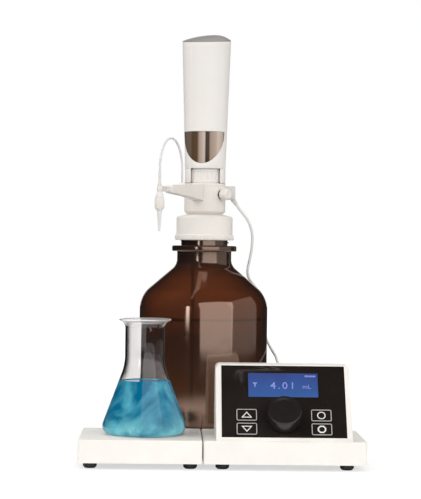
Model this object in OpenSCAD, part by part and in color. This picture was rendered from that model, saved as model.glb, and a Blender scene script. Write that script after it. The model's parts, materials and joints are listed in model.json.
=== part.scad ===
// Automatic titrator: a magnetic stirrer and a control unit stand side by side in
// front of a reagent bottle, and a motor-driven dosing head is screwed on the bottle.
// Millimetres, +X right, +Y away from the user, +Z up. The origin is on the bench,
// under the middle of the whole set.

/* [Bases] */
// Width of the stirrer base
stirrer_w = 125; // [110:1:150]
// Width of the base under the control unit
base_w = 165; // [150:1:200]
// Depth of both bases
base_d = 125; // [118:1:140]
// Height of both base housings without feet
base_h = 23.5; // [22.5:0.5:32]
// Gap between the two bases
base_gap = 1; // [0.5:0.5:10]
// Corner radius of the bases, seen from above
base_corner_r = 3; // [2:0.5:6]
// Radius of the two outer corners of the control unit's base
base_end_r = 7.5; // [4:0.5:10]
// Rounding of the top edges
base_edge_r = 1.6; // [0.5:0.1:2.2]
// Wall of the base housings
base_wall = 2.5; // [2:0.1:3]
// Thickness of the plates that close the bases
bottom_t = 3; // [2.5:0.1:4]

/* [Feet] */
// Height of the rubber feet
foot_h = 6; // [4:0.5:10]
// Diameter of a foot
foot_d = 14; // [10:0.5:18]
// Distance of a stirrer foot from the side edge
stirrer_foot_inset = 12; // [10:0.5:20]
// Distance of a control base foot from the side edge
base_foot_inset = 19.5; // [12:0.5:30]
// Distance of the feet from the front and back edges
foot_setback = 15; // [12:0.5:20]

/* [Stirrer drive] */
// Diameter of the stirrer motor
stir_motor_d = 38; // [30:1:44]
// Height of the stirrer motor
stir_motor_h = 7; // [6:0.5:7.5]
// Diameter of the stirrer motor's shaft
stir_shaft_d = 3; // [2:0.5:4]
// Diameter of the magnet carrier
carrier_d = 56; // [50:1:70]
// Thickness of the magnet carrier
carrier_t = 3; // [2.5:0.5:3.5]
// Diameter of a drive magnet
magnet_d = 12; // [8:0.5:14]
// Height of a drive magnet
magnet_h = 4; // [3:0.5:4.5]
// Distance of a drive magnet from the axis
magnet_offset = 18; // [14:0.5:20]

/* [Stir bar] */
// Length of the stir bar
bar_len = 30; // [20:1:40]
// Diameter of the stir bar
bar_d = 8; // [6:0.5:9]
// Diameter of the ring round its middle
bar_ring_d = 9; // [9:0.2:10]

/* [Flask] */
// Diameter of the flask's body
flask_d = 86; // [80:1:95]
// Outer diameter of the flask's neck
flask_neck_d = 40.8; // [36:0.2:44]
// Outer diameter of the lip
flask_lip_d = 53.8; // [52:0.2:58]
// Length of the straight neck
flask_neck_len = 29.5; // [20:0.5:40]
// Slope of the flask's side from the vertical
flask_slope = 20.2; // [17:0.2:23]
// Wall of the flask
flask_wall = 2; // [1.5:0.1:2.5]
// Offset of the flask from the stirrer's axis
flask_offset = 3; // [0:0.5:5]

/* [Reagent bottle] */
// Diameter of the bottle
bottle_d = 141; // [130:1:150]
// Height of the bottle's straight side
bottle_side_h = 156; // [130:1:180]
// Slope of the shoulder from the horizontal
shoulder_slope = 40; // [36:1:44]
// Outer diameter of the bottle's neck
bottle_neck_d = 60; // [56:1:64]
// Length of the neck below its ring
bottle_neck_len = 9.5; // [6:0.5:16]
// Diameter of the ring round the neck
neck_ring_d = 71.4; // [66:0.2:74]
// Height of the ring round the neck
neck_ring_h = 6.1; // [5:0.1:8]
// Outer diameter of the threaded mouth
mouth_d = 51.4; // [50:0.2:52]
// Height of the threaded mouth
mouth_h = 25.6; // [23:0.2:28]
// Inner diameter of the mouth
mouth_bore_d = 42; // [40:0.5:43]
// Wall of the bottle
bottle_wall = 3.5; // [3:0.1:4]
// Distance of the bottle from the bases
bottle_gap = 6; // [2:1:20]
// Bottle axis, to the right of the joint between the bases
bottle_shift = 2.7; // [-20:0.1:20]

/* [Screw collar] */
// Height of the collar's side
collar_h = 26; // [20:0.5:30]
// Diameter of the collar
collar_d = 62; // [60:0.5:66]
// Diameter of the skirt at the bottom of the collar
skirt_d = 64.2; // [63:0.2:67]
// Height of the skirt
skirt_h = 6.5; // [4:0.5:8]
// Ribs round the skirt
skirt_ribs = 60; // [24:4:72]
// Rise of the collar's conical top
collar_cone_h = 2.1; // [1:0.1:3]

/* [Valve block] */
// Diameter of the valve block
block_d = 45.3; // [42:0.1:50]
// Height of the valve block above the collar
block_h = 34.3; // [30:0.1:40]
// Chamfer at the bottom of the valve block
block_chamfer = 3.5; // [2:0.1:5]
// Diameter of the valve block's central channel
channel_d = 6; // [5:0.5:7]
// Outer diameter of the suction tube
suction_d = 8; // [6:0.5:9]
// Height of the suction tube's end above the bench
suction_clearance = 9; // [8:0.5:20]

/* [Dosing head] */
// Turn of the head about the bottle axis, towards the left
head_turn = 12; // [0:1:20]
// Diameter of the casing where it starts
casing_d0 = 44.7; // [44:0.1:50]
// Diameter of the casing at its top
casing_d1 = 53.7; // [50:0.1:60]
// Height of the casing's tapered part
casing_h = 140.6; // [136:0.2:160]
// Wall of the casing
casing_wall = 2; // [1.5:0.1:2.5]
// Distance of the casing's side seam in front of its axis
seam_y = 5; // [2:0.5:8]
// Height of the ribbed ring between block and casing
ring_h = 16.2; // [12:0.2:20]
// Diameter of the ribbed ring
ring_d = 38; // [36:0.2:38.4]
// Ribs round the ring
ring_ribs = 36; // [16:4:48]
// Tilt of the casing's top
cap_tilt = 6.7; // [0:0.1:10]
// Radius of the sloping top of the cap
cap_dome_r = 105; // [90:5:200]
// Height of the cap at its highest point
cap_h = 7; // [5:0.5:9]
// Distance of the highest point from the axis, to the right and back
cap_shift = 9.5; // [0:0.5:12]
// Radius of the cap's rounded top
cap_round_r = 26; // [22:1:30]
// Height of the cap's straight rim
cap_t = 0.8; // [0.6:0.1:2]
// Width of the casing's opening for the ribbed ring
ring_opening = 32; // [28:1:36]

/* [Inspection window] */
// Half width of the window
window_a = 22.3; // [18:0.1:22.4]
// Depth of the window's round lower part
window_b = 32.4; // [24:0.2:36]
// Straight part above the round one
window_top = 3; // [1:0.5:6]
// Height of the window's lowest point above the casing's lower edge
window_rise = 5; // [4:0.2:10]
// Thickness of the window
window_t = 1.4; // [1:0.1:1.6]

/* [Dosing drive] */
// Diameter of the piston
piston_d = 24; // [20:0.5:25]
// Wall of the glass cylinder
glass_wall = 2; // [1.5:0.1:2]
// Stroke of the piston
stroke = 40; // [30:1:41]
// Height of the piston's head
piston_h = 12; // [10:0.5:14]
// Outer diameter of the piston rod
rod_d = 12; // [11:0.5:13]
// Diameter of the lead screw
screw_d = 8; // [6:0.5:8]
// Diameter of the drive nut
nut_d = 18; // [16:0.5:20]
// Height of the drive nut
nut_h = 8; // [6:0.5:10]
// Side of the square drive motor
motor_w = 28; // [24:0.5:30]
// Height of the drive motor
motor_h = 30; // [24:0.5:32]
// Diameter of the motor shaft
motor_shaft_d = 5; // [4:0.5:6]

/* [Dosing arm] */
// Turn of the arm from straight ahead, towards the left
arm_turn = 21; // [10:1:40]
// Reach of the arm to the dosing tip
arm_reach = 138; // [120:1:144]
// Height of the arm at its root
arm_root_h = 18.5; // [16:0.5:20]
// Height of the arm at the end of its taper
arm_end_h = 8.3; // [7:0.1:10]
// Width of the arm at its root
arm_root_w = 14; // [12:0.5:16]
// Width of the arm at the end of its taper
arm_end_w = 8; // [7:0.5:10]
// Diameter of the dosing tube
tube_d = 2.3; // [2:0.1:3]
// Radius of the dosing tube's arch
arch_r = 33; // [28:0.5:34]
// Height of the arch's ends above the arm
arch_rise = 15.5; // [14:0.5:24]
// Diameter of the tip's nut
tip_nut_d = 9.9; // [9:0.1:11]
// Height of the tip's nut
tip_nut_h = 12; // [10:0.5:14]
// Length of the dosing tip below its nut
tip_len = 22.5; // [16:0.5:28]

/* [Valve knob] */
// Turn of the valve knob from straight ahead, towards the right
valve_turn = 50; // [44:1:56]
// Diameter of the valve knob
valve_d = 11.8; // [10:0.1:13]
// Length of the valve knob
valve_len = 9.6; // [8:0.1:12]
// Diameter of its spindle
spindle_d = 5; // [4:0.5:6]

/* [Control unit] */
// Width of the control unit
case_w = 137.2; // [134:0.2:145]
// Height of the control unit above its base
case_h = 74; // [71:0.5:80]
// Depth of the control unit
case_d = 98; // [94:1:110]
// Lean of its front from the vertical
case_lean = 36; // [34:0.5:38]
// Height of the upright lip below the sloping front
case_lip = 2.8; // [2:0.1:5]
// Distance of the control unit from the base's front edge
case_setback = 2; // [1:0.5:6]
// Distance of the control unit from the base's right end
case_inset = 15; // [5:0.5:20]
// Wall of the control unit
case_wall = 2.5; // [2:0.1:3]
// Rounding of its top edges
case_r = 5.5; // [4:0.5:7]
// Radius of the back of its top
case_back_r = 24; // [15:1:28]

/* [Front panel] */
// Width of the front panel
panel_w = 126; // [122:0.5:128]
// Height of the front panel along the slope
panel_h = 84.8; // [82:0.2:86]
// Thickness of the front panel
panel_t = 2.5; // [2:0.1:3]
// Distance of the panel from the lip, along the slope
panel_start = 1.2; // [0.8:0.1:2]
// Width of the display
display_w = 71.5; // [60:0.5:80]
// Height of the display
display_h = 28.8; // [20:0.2:30]
// Height of the display's lower edge on the panel
display_v = 47.5; // [46:0.5:52]
// Width of a key
key_w = 21.3; // [18:0.1:24]
// Height of a key
key_h = 14.2; // [12:0.1:15]
// Distance between an upper and a lower key
key_pitch = 16.2; // [15.6:0.1:18]
// Distance of the keys from the panel's middle
key_u = 37.8; // [34:0.2:42]
// Height of the lower keys on the panel
key_v = 9.8; // [9.4:0.1:11]
// Travel of a key
key_travel = 0.5; // [0.3:0.1:0.7]

/* [Control knob] */
// Diameter of the knob at its foot
knob_d = 36.5; // [30:0.5:38]
// Height of the knob
knob_h = 14.5; // [10:0.5:18]
// Height of the knob's axis on the panel
knob_v = 23.6; // [22:0.2:26]
// Diameter of the knob's shaft
knob_shaft_d = 6; // [5:0.5:7]

/* [Head cable] */
// Diameter of the cable
cable_d = 3; // [2.5:0.1:4]
// Width of the cable's connector on the valve block
connector_w = 12; // [10:0.5:14]
// Height of the connector
connector_h = 15; // [12:0.5:18]
// Reach of the connector from the bottle axis
connector_reach = 33.5; // [30:0.5:38]
// Diameter of the cable's plug
plug_d = 10; // [8:0.5:12]
// Length of the cable's plug
plug_len = 16; // [12:0.5:20]

/* [Fits] */
// Radial clearance of a turning or sliding fit
running_gap = 0.05; // [0.02:0.01:0.09]
// Clearance between parts that are put together
fit_gap = 0.2; // [0.1:0.05:0.3]

/* [Hidden] */
$fn = 64;
EPS = 0.01;

WHITE = [0.93, 0.93, 0.91];
CREAM = [0.9, 0.88, 0.83];
BLACK = [0.09, 0.09, 0.1];
STEEL = [0.7, 0.71, 0.73];
AMBER = [0.28, 0.13, 0.07];
CLEAR = [0.8, 0.87, 0.88, 0.4];
GREY = [0.68, 0.68, 0.67];

// Widths and places of the bases, from the left
set_w = stirrer_w + base_gap + base_w;
stirrer_x = -set_w / 2 + stirrer_w / 2;
base_x = set_w / 2 - base_w / 2;
seam_x = -set_w / 2 + stirrer_w + base_gap / 2;
base_z = foot_h;
base_top = foot_h + base_h;
floor_z = base_z + bottom_t;
ceiling_z = base_top - base_wall;

// Control unit: its front slopes back from the lip
case_x = set_w / 2 - case_inset - case_w / 2;
slope_z = base_top + case_lip;
case_top = base_top + case_h;
function slope_y(z, i) = case_setback + i / cos(case_lean) + (z - slope_z) * tan(case_lean);
panel_y = case_setback + panel_start * sin(case_lean);
panel_z = slope_z + panel_start * cos(case_lean);

// The knob reaches out in front of the bases, so the middle of the set moves with it
knob_r = knob_d / 2;
knob_gap = 0.4;
knob_edge = 1.2;
knob_taper = 1.6;
knob_dish = 1.2;
knob_top_r = knob_r - knob_taper - knob_edge;
knob_front = panel_y + (knob_v - knob_top_r) * sin(case_lean) - (knob_h + knob_gap) * cos(case_lean);
overhang = max(0, -knob_front);
front_y = (overhang - base_d - bottle_gap - bottle_d) / 2;
base_y = front_y + base_d / 2;
bottle_x = seam_x + bottle_shift;
bottle_y = front_y + base_d + bottle_gap + bottle_d / 2;

// Screws and feet under the bases
boss_d = 8;
boss_gap = 0.05;
bottom_screw_d = 3;
bottom_screw_len = 10;
screw_head_d = 5.6;
screw_head_h = 1.8;
screw_inset = 9;
screw_back = 30;
foot_spigot_d = 6;
foot_dome = 2;

// Stirrer drive, hung from the plate's underside downwards
magnet_play = 1.5;
magnet_seat = 1.5;
magnet_top = ceiling_z - magnet_play;
carrier_top = magnet_top - magnet_h + magnet_seat;
hub_h = 2.4;
hub_d = 12;

// Flask
flask_x = stirrer_x + flask_offset;
heel_r = 9;
blend_r = 45;
flare_r = 8;
flare_angle = 115;
lip_bead_r = 1.6;
flask_floor_t = 2.5;
flask_r = flask_d / 2;
flask_neck_r = flask_neck_d / 2;
heel_end = [flask_r - heel_r + heel_r * cos(flask_slope), base_top + heel_r + heel_r * sin(flask_slope)];
blend_x = flask_neck_r + blend_r;
blend_end_r = blend_x - blend_r * cos(flask_slope);
blend_z = heel_end[1] + (heel_end[0] - blend_end_r) / tan(flask_slope) + blend_r * sin(flask_slope);
flare_z = blend_z + flask_neck_len;
flask_bottom = base_top + flask_floor_t;
bar_gap = 0.3;

// Reagent bottle, from the bench up
bottle_r = bottle_d / 2;
bottle_heel_r = 8;
shoulder_r = 28;
neck_blend_r = 12;
neck_r = bottle_neck_d / 2;
shoulder_turn = 90 - shoulder_slope;
shoulder_end = [bottle_r - shoulder_r + shoulder_r * cos(shoulder_turn),
    bottle_side_h + shoulder_r * sin(shoulder_turn)];
neck_start = neck_r + neck_blend_r - neck_blend_r * cos(shoulder_turn);
neck_z = shoulder_end[1] + (shoulder_end[0] - neck_start) * tan(shoulder_slope)
    + neck_blend_r * sin(shoulder_turn);
neck_ring_z = neck_z + bottle_neck_len;
mouth_z0 = neck_ring_z + neck_ring_h;
mouth_z = mouth_z0 + mouth_h;

// Dosing head, from the mouth up
gasket_t = 1.5;
flange_t = 2;
collar_roof = 3;
flange_z = mouth_z + gasket_t;
roof_z = flange_z + flange_t;
collar_top = roof_z + collar_roof;
collar_z = collar_top - collar_h;
block_z = collar_top + collar_cone_h;
block_top = block_z + block_h;
block_r = block_d / 2;
block_neck_r = 17;
spigot_r = 14.5;
spigot_h = 11;
ring_z = block_top + 0.2;
casing_z = ring_z + ring_h;
casing_top = casing_z + casing_h;
function casing_r(z) = casing_d0 / 2 + max(0, z - casing_z) * (casing_d1 - casing_d0) / 2 / casing_h;
rim_z = casing_top - 0.1;
cap_spigot_h = 3;
cap_roof = 1;
cap_side = 38;
window_z = casing_z + window_rise + window_b;

// Piston drive, from the block up
glass_r = piston_d / 2 + glass_wall;
piston_z = ring_z + 1.5;
rod_bore_gap = 0.3;
plate_t = 3.6;
column_d = 5;
column_x = 15.5;
column_y = 8;
rod_top = piston_z + piston_h + stroke + 4;
nut_z = rod_top;
glass_h = rod_top - 3 - ring_z;
top_plate_z = nut_z + nut_h + stroke + 3;
motor_z = top_plate_z + plate_t;
bearing_d = 12;
board_h = 32;

// Dosing arm, in its own frame: +X along the arm from the bottle axis
arm_root = block_r + 0.1;
arm_top = block_top - 0.9;
arm_taper_end = arm_reach - 28;
arm_belly = 60;
arm_belly_h = 14.5;
arm_hole_d = 3;
arm_hole_back = 12.6;
port_d = 6.5;
arm_drop = 3.8;
arm_eye_r = 3;
arm_tip_top = arm_top - arm_drop - 2;
arm_tip_h = 5.2;
arm_tip_w = 5.2;
port_x = arm_reach - 2 * arch_r;
arch_z = arm_top + arch_rise - 3;
sleeve_d = 2.9;
sleeve_h = 13;
clip_h = arm_tip_h + 2.1;
arm_bore_d = 11;
arm_bore_depth = 11;
outlet_d = 5;
arm_port_z = arm_top - arm_root_h / 2 + 0.5;

// Valve knob
valve_z = block_z + 22.2;
washer_t = 1.5;
spindle_in = 14;

// Keys and board behind the panel
key_under = 1.5;
key_flange = 1.2;
key_flange_t = 0.9;
key_proud = 0.3;
switch_h = 1.2;
board_t = 1.6;
board_inset = 5;
board_n = -(panel_t + key_under + key_travel + 0.05 + switch_h);
panel_ledge = 1.5;
key_places = [[-key_u, key_v + key_pitch], [-key_u, key_v], [key_u, key_v + key_pitch], [key_u, key_v]];

// Back and underside of the control unit
bottom_cover_t = 2;
socket_d = 9;
inlet_d = 8;
socket_rim = 2;
inlet_x = case_x - 20;

// Head cable: it drops from the connector to the shoulder, lies down round the bottle's side
// and runs on into the control unit's back
connector_z = valve_z - 5.4;
socket_x = case_x + 5.1;
plug_z = 50;
rear_y = front_y + case_setback + case_d;
// Places from the bottle axis at the connector's underside
CABLE_DROP = [[35, 1.2, -5.3], [37, 1.7, -8.05], [39, 2.2, -10.8], [44, 3.2, -16.8], [48.5, 4.2, -23.3],
    [52, 5.7, -31.8], [53.5, 7.2, -41.3], [53, 8.7, -53.3], [51, 10.2, -65.3], [49, 11.7, -76.3]];
// Direction from the bottle axis, distance out of the bottle's side, height above its straight side
CABLE_LIE = [[49, 13.2, -19.2, 35], [52.5, 16.2, -15, 29], [57.5, 20.7, -8.9, 23], [63, 26.2, -1.8, 15.5],
    [66.5, 30.7, 3.2, 6], [67.5, 33.2, 5.2, -5], [67.5, 33.2, 5.2, -16], [68.5, 31.2, 5.3, -26.5],
    [71, 25.7, 5.5, -35.5], [74, 17.2, 6, -42.5], [77, 6.2, 7.2, -48], [79.5, -5.8, 9.7, -52.5],
    [81, -16.8, 12.7, -57.5]];
// Places from the socket
CABLE_RUN = [[0, 74.2, 41.5], [0, 65.2, 32.5], [0, 57.2, 22], [0, 49.7, 12], [0, 41.2, 4.5], [0, 32.2, 1],
    [0, 26.2, 0], [0, 22.2, 0], [0, 18.2, 0]];
function beside_bottle(p) = let (k = (bottle_r + p[2]) / norm([p[0], p[1]]))
    [bottle_x + k * p[0], bottle_y + k * p[1], bottle_side_h + p[3]];
CABLE_ROUTE = concat([for (p = CABLE_DROP) [bottle_x, bottle_y, connector_z] + p],
    [for (p = CABLE_LIE) beside_bottle(p)], [for (p = CABLE_RUN) [socket_x, rear_y, plug_z] + p]);
CABLE_SIDES = 8;
CABLE_STEPS = 2;
GLAND_LEN = 8;

function arc(cx, cy, r, a0, a1, n = 8) =
    [for (i = [0:n]) let (a = a0 + (a1 - a0) * i / n) [cx + r * cos(a), cy + r * sin(a)]];

// ---- shared shapes ----

// Plan of a box centred on the origin, with its own radius at the left and right corners
module corner_plan(w, d, left_r, right_r) {
    translate([-w / 2 + left_r, -d / 2]) square([w - left_r - right_r, d]);
    translate([-w / 2, -d / 2 + left_r]) square([left_r + EPS, d - 2 * left_r]);
    translate([w / 2 - right_r - EPS, -d / 2 + right_r]) square([right_r + EPS, d - 2 * right_r]);
    for (y = [-1, 1]) {
        translate([-w / 2 + left_r, y * (d / 2 - left_r)]) circle(left_r);
        translate([w / 2 - right_r, y * (d / 2 - right_r)]) circle(right_r);
    }
}

// Upright outline with rounded upper corners, standing on the line z = 0
module round_top(w, h, r) {
    translate([-w / 2, 0]) square([w, h - r]);
    translate([-w / 2 + r, 0]) square([w - 2 * r, h]);
    for (x = [-1, 1]) translate([x * (w / 2 - r), h - r]) circle(r);
}

// Box with rounded corners and rounded top edges
module soft_box(w, d, h, left_r, right_r, edge) {
    intersection() {
        linear_extrude(h) corner_plan(w, d, left_r, right_r);
        rotate([90, 0, 0]) linear_extrude(d + 2, center = true) round_top(w, h, edge);
        rotate([90, 0, 90]) linear_extrude(w + 2, center = true) round_top(d, h, edge);
    }
}

module ring(outer_r, inner_r, h) {
    difference() {
        cylinder(h = h, r = outer_r);
        translate([0, 0, -1]) cylinder(h = h + 2, r = inner_r);
    }
}

// The four corners of a base, at one inset from the sides
module at_corners(w, inset) {
    for (x = [-1, 1], y = [-1, 1])
        translate([x * (w / 2 - inset), y * (base_d / 2 - foot_setback), 0]) children();
}

module in_stirrer() { translate([stirrer_x, base_y, 0]) children(); }
module in_base() { translate([base_x, base_y, 0]) children(); }
module on_bottle() { translate([bottle_x, bottle_y, 0]) children(); }
module in_head() { on_bottle() rotate([0, 0, -head_turn]) children(); }
module in_arm() { on_bottle() rotate([0, 0, -90 - arm_turn]) children(); }
module at_tip() { in_arm() translate([arm_reach, 0, 0]) children(); }

// +Z runs out along the valve's spindle from the bottle axis
module on_valve() {
    on_bottle() translate([0, 0, valve_z]) rotate([0, 0, valve_turn - 90]) rotate([0, 90, 0]) children();
}

// Panel frame: X across, Y up the slope, Z out of the panel's face
module on_panel(u = 0, v = 0) {
    translate([case_x, front_y + panel_y, panel_z]) rotate([90 - case_lean, 0, 0])
        translate([u, v, 0]) children();
}

// ---- bases ----

// Screw places, nearer the middle than the feet
module at_screws(w) {
    for (x = [-1, 1], y = [-1, 1])
        translate([x * (w / 2 - screw_inset), y * (base_d / 2 - screw_back), 0]) children();
}

module base_shell(w, left_r, right_r) {
    inner_w = w - 2 * base_wall;
    inner_d = base_d - 2 * base_wall;
    difference() {
        union() {
            difference() {
                translate([0, 0, base_z]) soft_box(w, base_d, base_h, left_r, right_r, base_edge_r);
                translate([0, 0, base_z - 1]) linear_extrude(base_h - base_wall + 1)
                    corner_plan(inner_w, inner_d, base_corner_r, base_corner_r);
            }
            at_screws(w) translate([0, 0, floor_z]) cylinder(h = ceiling_z - floor_z + 1, d = boss_d);
        }
        at_screws(w) translate([0, 0, floor_z - 1])
            cylinder(h = bottom_screw_len + 3, d = bottom_screw_d + 2 * boss_gap);
    }
}

module base_plate(w, inset) {
    plate_w = w - 2 * base_wall - 2 * fit_gap;
    plate_d = base_d - 2 * base_wall - 2 * fit_gap;
    difference() {
        translate([0, 0, base_z]) linear_extrude(bottom_t)
            corner_plan(plate_w, plate_d, base_corner_r, base_corner_r);
        at_corners(w, inset) translate([0, 0, base_z - 1]) cylinder(h = bottom_t + 2, d = foot_spigot_d);
        at_screws(w) {
            translate([0, 0, base_z - 1]) cylinder(h = bottom_t + 2, d = bottom_screw_d + 2 * fit_gap);
            translate([0, 0, base_z - 1]) cylinder(h = screw_head_h + 1, d = screw_head_d + 2 * fit_gap);
        }
    }
}

module foot() {
    r = foot_d / 2;
    rotate_extrude() polygon(concat([[0, 0]], arc(r - foot_dome, foot_dome, foot_dome, -90, 0, 5),
        [[r, foot_h], [foot_spigot_d / 2 - boss_gap, foot_h],
         [foot_spigot_d / 2 - boss_gap, foot_h + bottom_t], [0, foot_h + bottom_t]]));
}

module bottom_screw() {
    translate([0, 0, base_z + 0.2]) cylinder(h = screw_head_h - 0.2, d = screw_head_d);
    translate([0, 0, base_z + screw_head_h - EPS]) cylinder(h = bottom_screw_len, d = bottom_screw_d);
}

module stirrer_housing() { color(WHITE) in_stirrer() base_shell(stirrer_w, base_corner_r, base_corner_r); }
module stirrer_bottom() { color(GREY) in_stirrer() base_plate(stirrer_w, stirrer_foot_inset); }
module stirrer_feet() { color(BLACK) in_stirrer() at_corners(stirrer_w, stirrer_foot_inset) foot(); }
module base_housing() { color(WHITE) in_base() base_shell(base_w, base_corner_r, base_end_r); }
module base_bottom() { color(GREY) in_base() base_plate(base_w, base_foot_inset); }
module base_feet() { color(BLACK) in_base() at_corners(base_w, base_foot_inset) foot(); }
module bottom_screws() {
    color(STEEL) {
        in_stirrer() at_screws(stirrer_w) bottom_screw();
        in_base() at_screws(base_w) bottom_screw();
    }
}

// ---- stirrer drive ----

module stirrer_motor() {
    color(STEEL) in_stirrer() translate([0, 0, floor_z])
        ring(stir_motor_d / 2, stir_shaft_d / 2 + running_gap, stir_motor_h);
}

module stirrer_shaft() {
    color(STEEL) in_stirrer() translate([0, 0, floor_z + 0.3])
        cylinder(h = carrier_top - floor_z - 0.3, d = stir_shaft_d);
}

module magnet_carrier() {
    color(GREY) in_stirrer() difference() {
        union() {
            translate([0, 0, carrier_top - carrier_t]) cylinder(h = carrier_t, d = carrier_d);
            translate([0, 0, carrier_top - carrier_t - hub_h]) cylinder(h = hub_h + 1, d = hub_d);
        }
        translate([0, 0, carrier_top - 10]) cylinder(h = 20, d = stir_shaft_d + 0.04);
        for (x = [-1, 1]) translate([x * magnet_offset, 0, carrier_top - magnet_seat])
            cylinder(h = 5, d = magnet_d + 2 * boss_gap);
    }
}

module drive_magnets() {
    color(STEEL) in_stirrer() for (x = [-1, 1])
        translate([x * magnet_offset, 0, magnet_top - magnet_h]) cylinder(h = magnet_h, d = magnet_d);
}

module stir_bar() {
    color("white") in_stirrer() translate([0, 0, flask_bottom + bar_gap + bar_ring_d / 2]) {
        rotate([0, 90, 0]) cylinder(h = bar_len - bar_d, d = bar_d, center = true);
        rotate([0, 90, 0]) cylinder(h = 2.5, d = bar_ring_d, center = true);
        for (x = [-1, 1]) translate([x * (bar_len - bar_d) / 2, 0, 0]) sphere(d = bar_d);
    }
}

// ---- flask ----

// One face of the flask's wall, from the bottom to the lip, at inset i
function flask_face(i) = concat(
    arc(flask_r - heel_r, base_top + heel_r, heel_r - i, -90, flask_slope, 7),
    arc(blend_x, blend_z, blend_r + i, 180 + flask_slope, 180, 5),
    arc(flask_neck_r + flare_r, flare_z, flare_r + i, 180, flare_angle, 6));

function backwards(list) = [for (i = [len(list) - 1:-1:0]) list[i]];

module flask() {
    inner = [for (p = flask_face(flask_wall)) [p[0], max(p[1], flask_bottom)]];
    color(CLEAR) translate([flask_x, base_y, 0]) rotate_extrude() {
        polygon(concat([[0, base_top]], flask_face(0), backwards(inner), [[0, flask_bottom]]));
        translate([flask_lip_d / 2 - lip_bead_r, flare_z + 8.2]) circle(lip_bead_r, $fn = 20);
    }
}

// ---- reagent bottle ----

function bottle_face(i) = concat(
    arc(bottle_r - bottle_heel_r, bottle_heel_r, bottle_heel_r - i, -90, 0, 6),
    arc(bottle_r - shoulder_r, bottle_side_h, shoulder_r - i, 0, shoulder_turn, 8),
    arc(neck_r + neck_blend_r, neck_z, neck_blend_r + i, 180 + shoulder_turn, 180, 6));

module reagent_bottle() {
    ring_r = neck_ring_d / 2;
    outer = concat([[0, 0]], bottle_face(0), [[neck_r, neck_ring_z]],
        arc(ring_r - 1.5, neck_ring_z + 1.5, 1.5, -90, 0, 3), arc(ring_r - 1.5, mouth_z0 - 1.5, 1.5, 0, 90, 3),
        [[mouth_d / 2, mouth_z0], [mouth_d / 2, mouth_z - 1], [mouth_d / 2 - 1, mouth_z]]);
    inner = concat([[mouth_bore_d / 2, mouth_z], [mouth_bore_d / 2, mouth_z0 + 2],
        [neck_r - bottle_wall, neck_ring_z - 2]], backwards(bottle_face(bottle_wall)), [[0, bottle_wall + 1]]);
    color(AMBER) on_bottle() rotate_extrude($fn = 96) polygon(concat(outer, inner));
}

// ---- collar and valve block ----

module screw_collar() {
    r = collar_d / 2;
    bore_r = mouth_d / 2 + 0.4;
    hole_r = block_neck_r + fit_gap;
    profile = [[bore_r, collar_z], [skirt_d / 2, collar_z], [skirt_d / 2, collar_z + skirt_h - 1],
        [r, collar_z + skirt_h], [r, collar_top - 1.5], [r - 1.5, collar_top],
        [block_r - block_chamfer + 2, collar_top + collar_cone_h], [hole_r, collar_top + collar_cone_h],
        [hole_r, roof_z], [bore_r, roof_z]];
    color(WHITE) on_bottle() {
        rotate_extrude() polygon(profile);
        for (i = [0:skirt_ribs - 1]) rotate([0, 0, i * 360 / skirt_ribs])
            translate([skirt_d / 2 - 0.25, 0, collar_z + 0.5]) cylinder(h = skirt_h - 2, r = 0.7, $fn = 16);
    }
}

module bottle_gasket() {
    color(BLACK) on_bottle() translate([0, 0, mouth_z])
        ring(mouth_bore_d / 2 + bottle_wall, spigot_r + fit_gap, gasket_t);
}

module valve_block() {
    flange_r = mouth_d / 2 - 1;
    foot_r = block_r - block_chamfer;
    color(WHITE) difference() {
        on_bottle() rotate_extrude() polygon([[0, flange_z - spigot_h], [spigot_r, flange_z - spigot_h],
            [spigot_r, flange_z], [flange_r, flange_z], [flange_r, roof_z - 0.1],
            [block_neck_r, roof_z - 0.1], [block_neck_r, block_z], [foot_r, block_z],
            [block_r, block_z + block_chamfer], [block_r, block_top - 0.8], [block_r - 0.8, block_top],
            [0, block_top]]);
        on_bottle() translate([0, 0, flange_z - spigot_h - 1]) cylinder(h = 100, d = channel_d);
        on_bottle() translate([0, 0, flange_z - spigot_h - 1])
            cylinder(h = 9, d = suction_d + 2 * boss_gap);
        in_arm() translate([arm_root - arm_bore_depth, 0, arm_port_z]) rotate([0, 90, 0])
            cylinder(h = 30, d = arm_bore_d + 2 * boss_gap);
        on_valve() translate([0, 0, block_r - spindle_in]) cylinder(h = 30, d = spindle_d + 2 * running_gap);
    }
}

module suction_tube() {
    color("white") on_bottle() translate([0, 0, suction_clearance])
        ring(suction_d / 2, suction_d / 2 - 1, flange_z - spigot_h + 8 - suction_clearance);
}

module inlet_valve() {
    color(CREAM) on_bottle() translate([0, 0, flange_z])
        ring(channel_d / 2 - boss_gap, 1, 9);
}

// ---- valve knob and washer ----

module valve_washer() {
    color(BLACK) on_valve() translate([0, 0, block_r + 0.1])
        ring(valve_d / 2 - 0.7, spindle_d / 2 + running_gap, washer_t - 0.2);
}

module valve_spindle() {
    color(STEEL) on_valve() translate([0, 0, block_r - spindle_in + 0.3])
        cylinder(h = spindle_in + washer_t + 5, d = spindle_d);
}

module valve_knob() {
    z0 = block_r + washer_t;
    r = valve_d / 2;
    color(CREAM) on_valve() difference() {
        union() {
            translate([0, 0, z0]) rotate_extrude() polygon([[0, 0], [r, 0], [r, valve_len - 1],
                [r - 1, valve_len], [0, valve_len]]);
            for (i = [0:11]) rotate([0, 0, i * 30]) translate([r - 0.1, 0, z0 + 1])
                cylinder(h = valve_len - 2.6, r = 0.5, $fn = 16);
        }
        translate([0, 0, z0 - 1]) cylinder(h = 6.3, d = spindle_d + 0.04);
        translate([-r - 1, -0.6, z0 + valve_len - 0.8]) cube([r, 1.2, 2]);
    }
}

// ---- dosing drive ----

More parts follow.
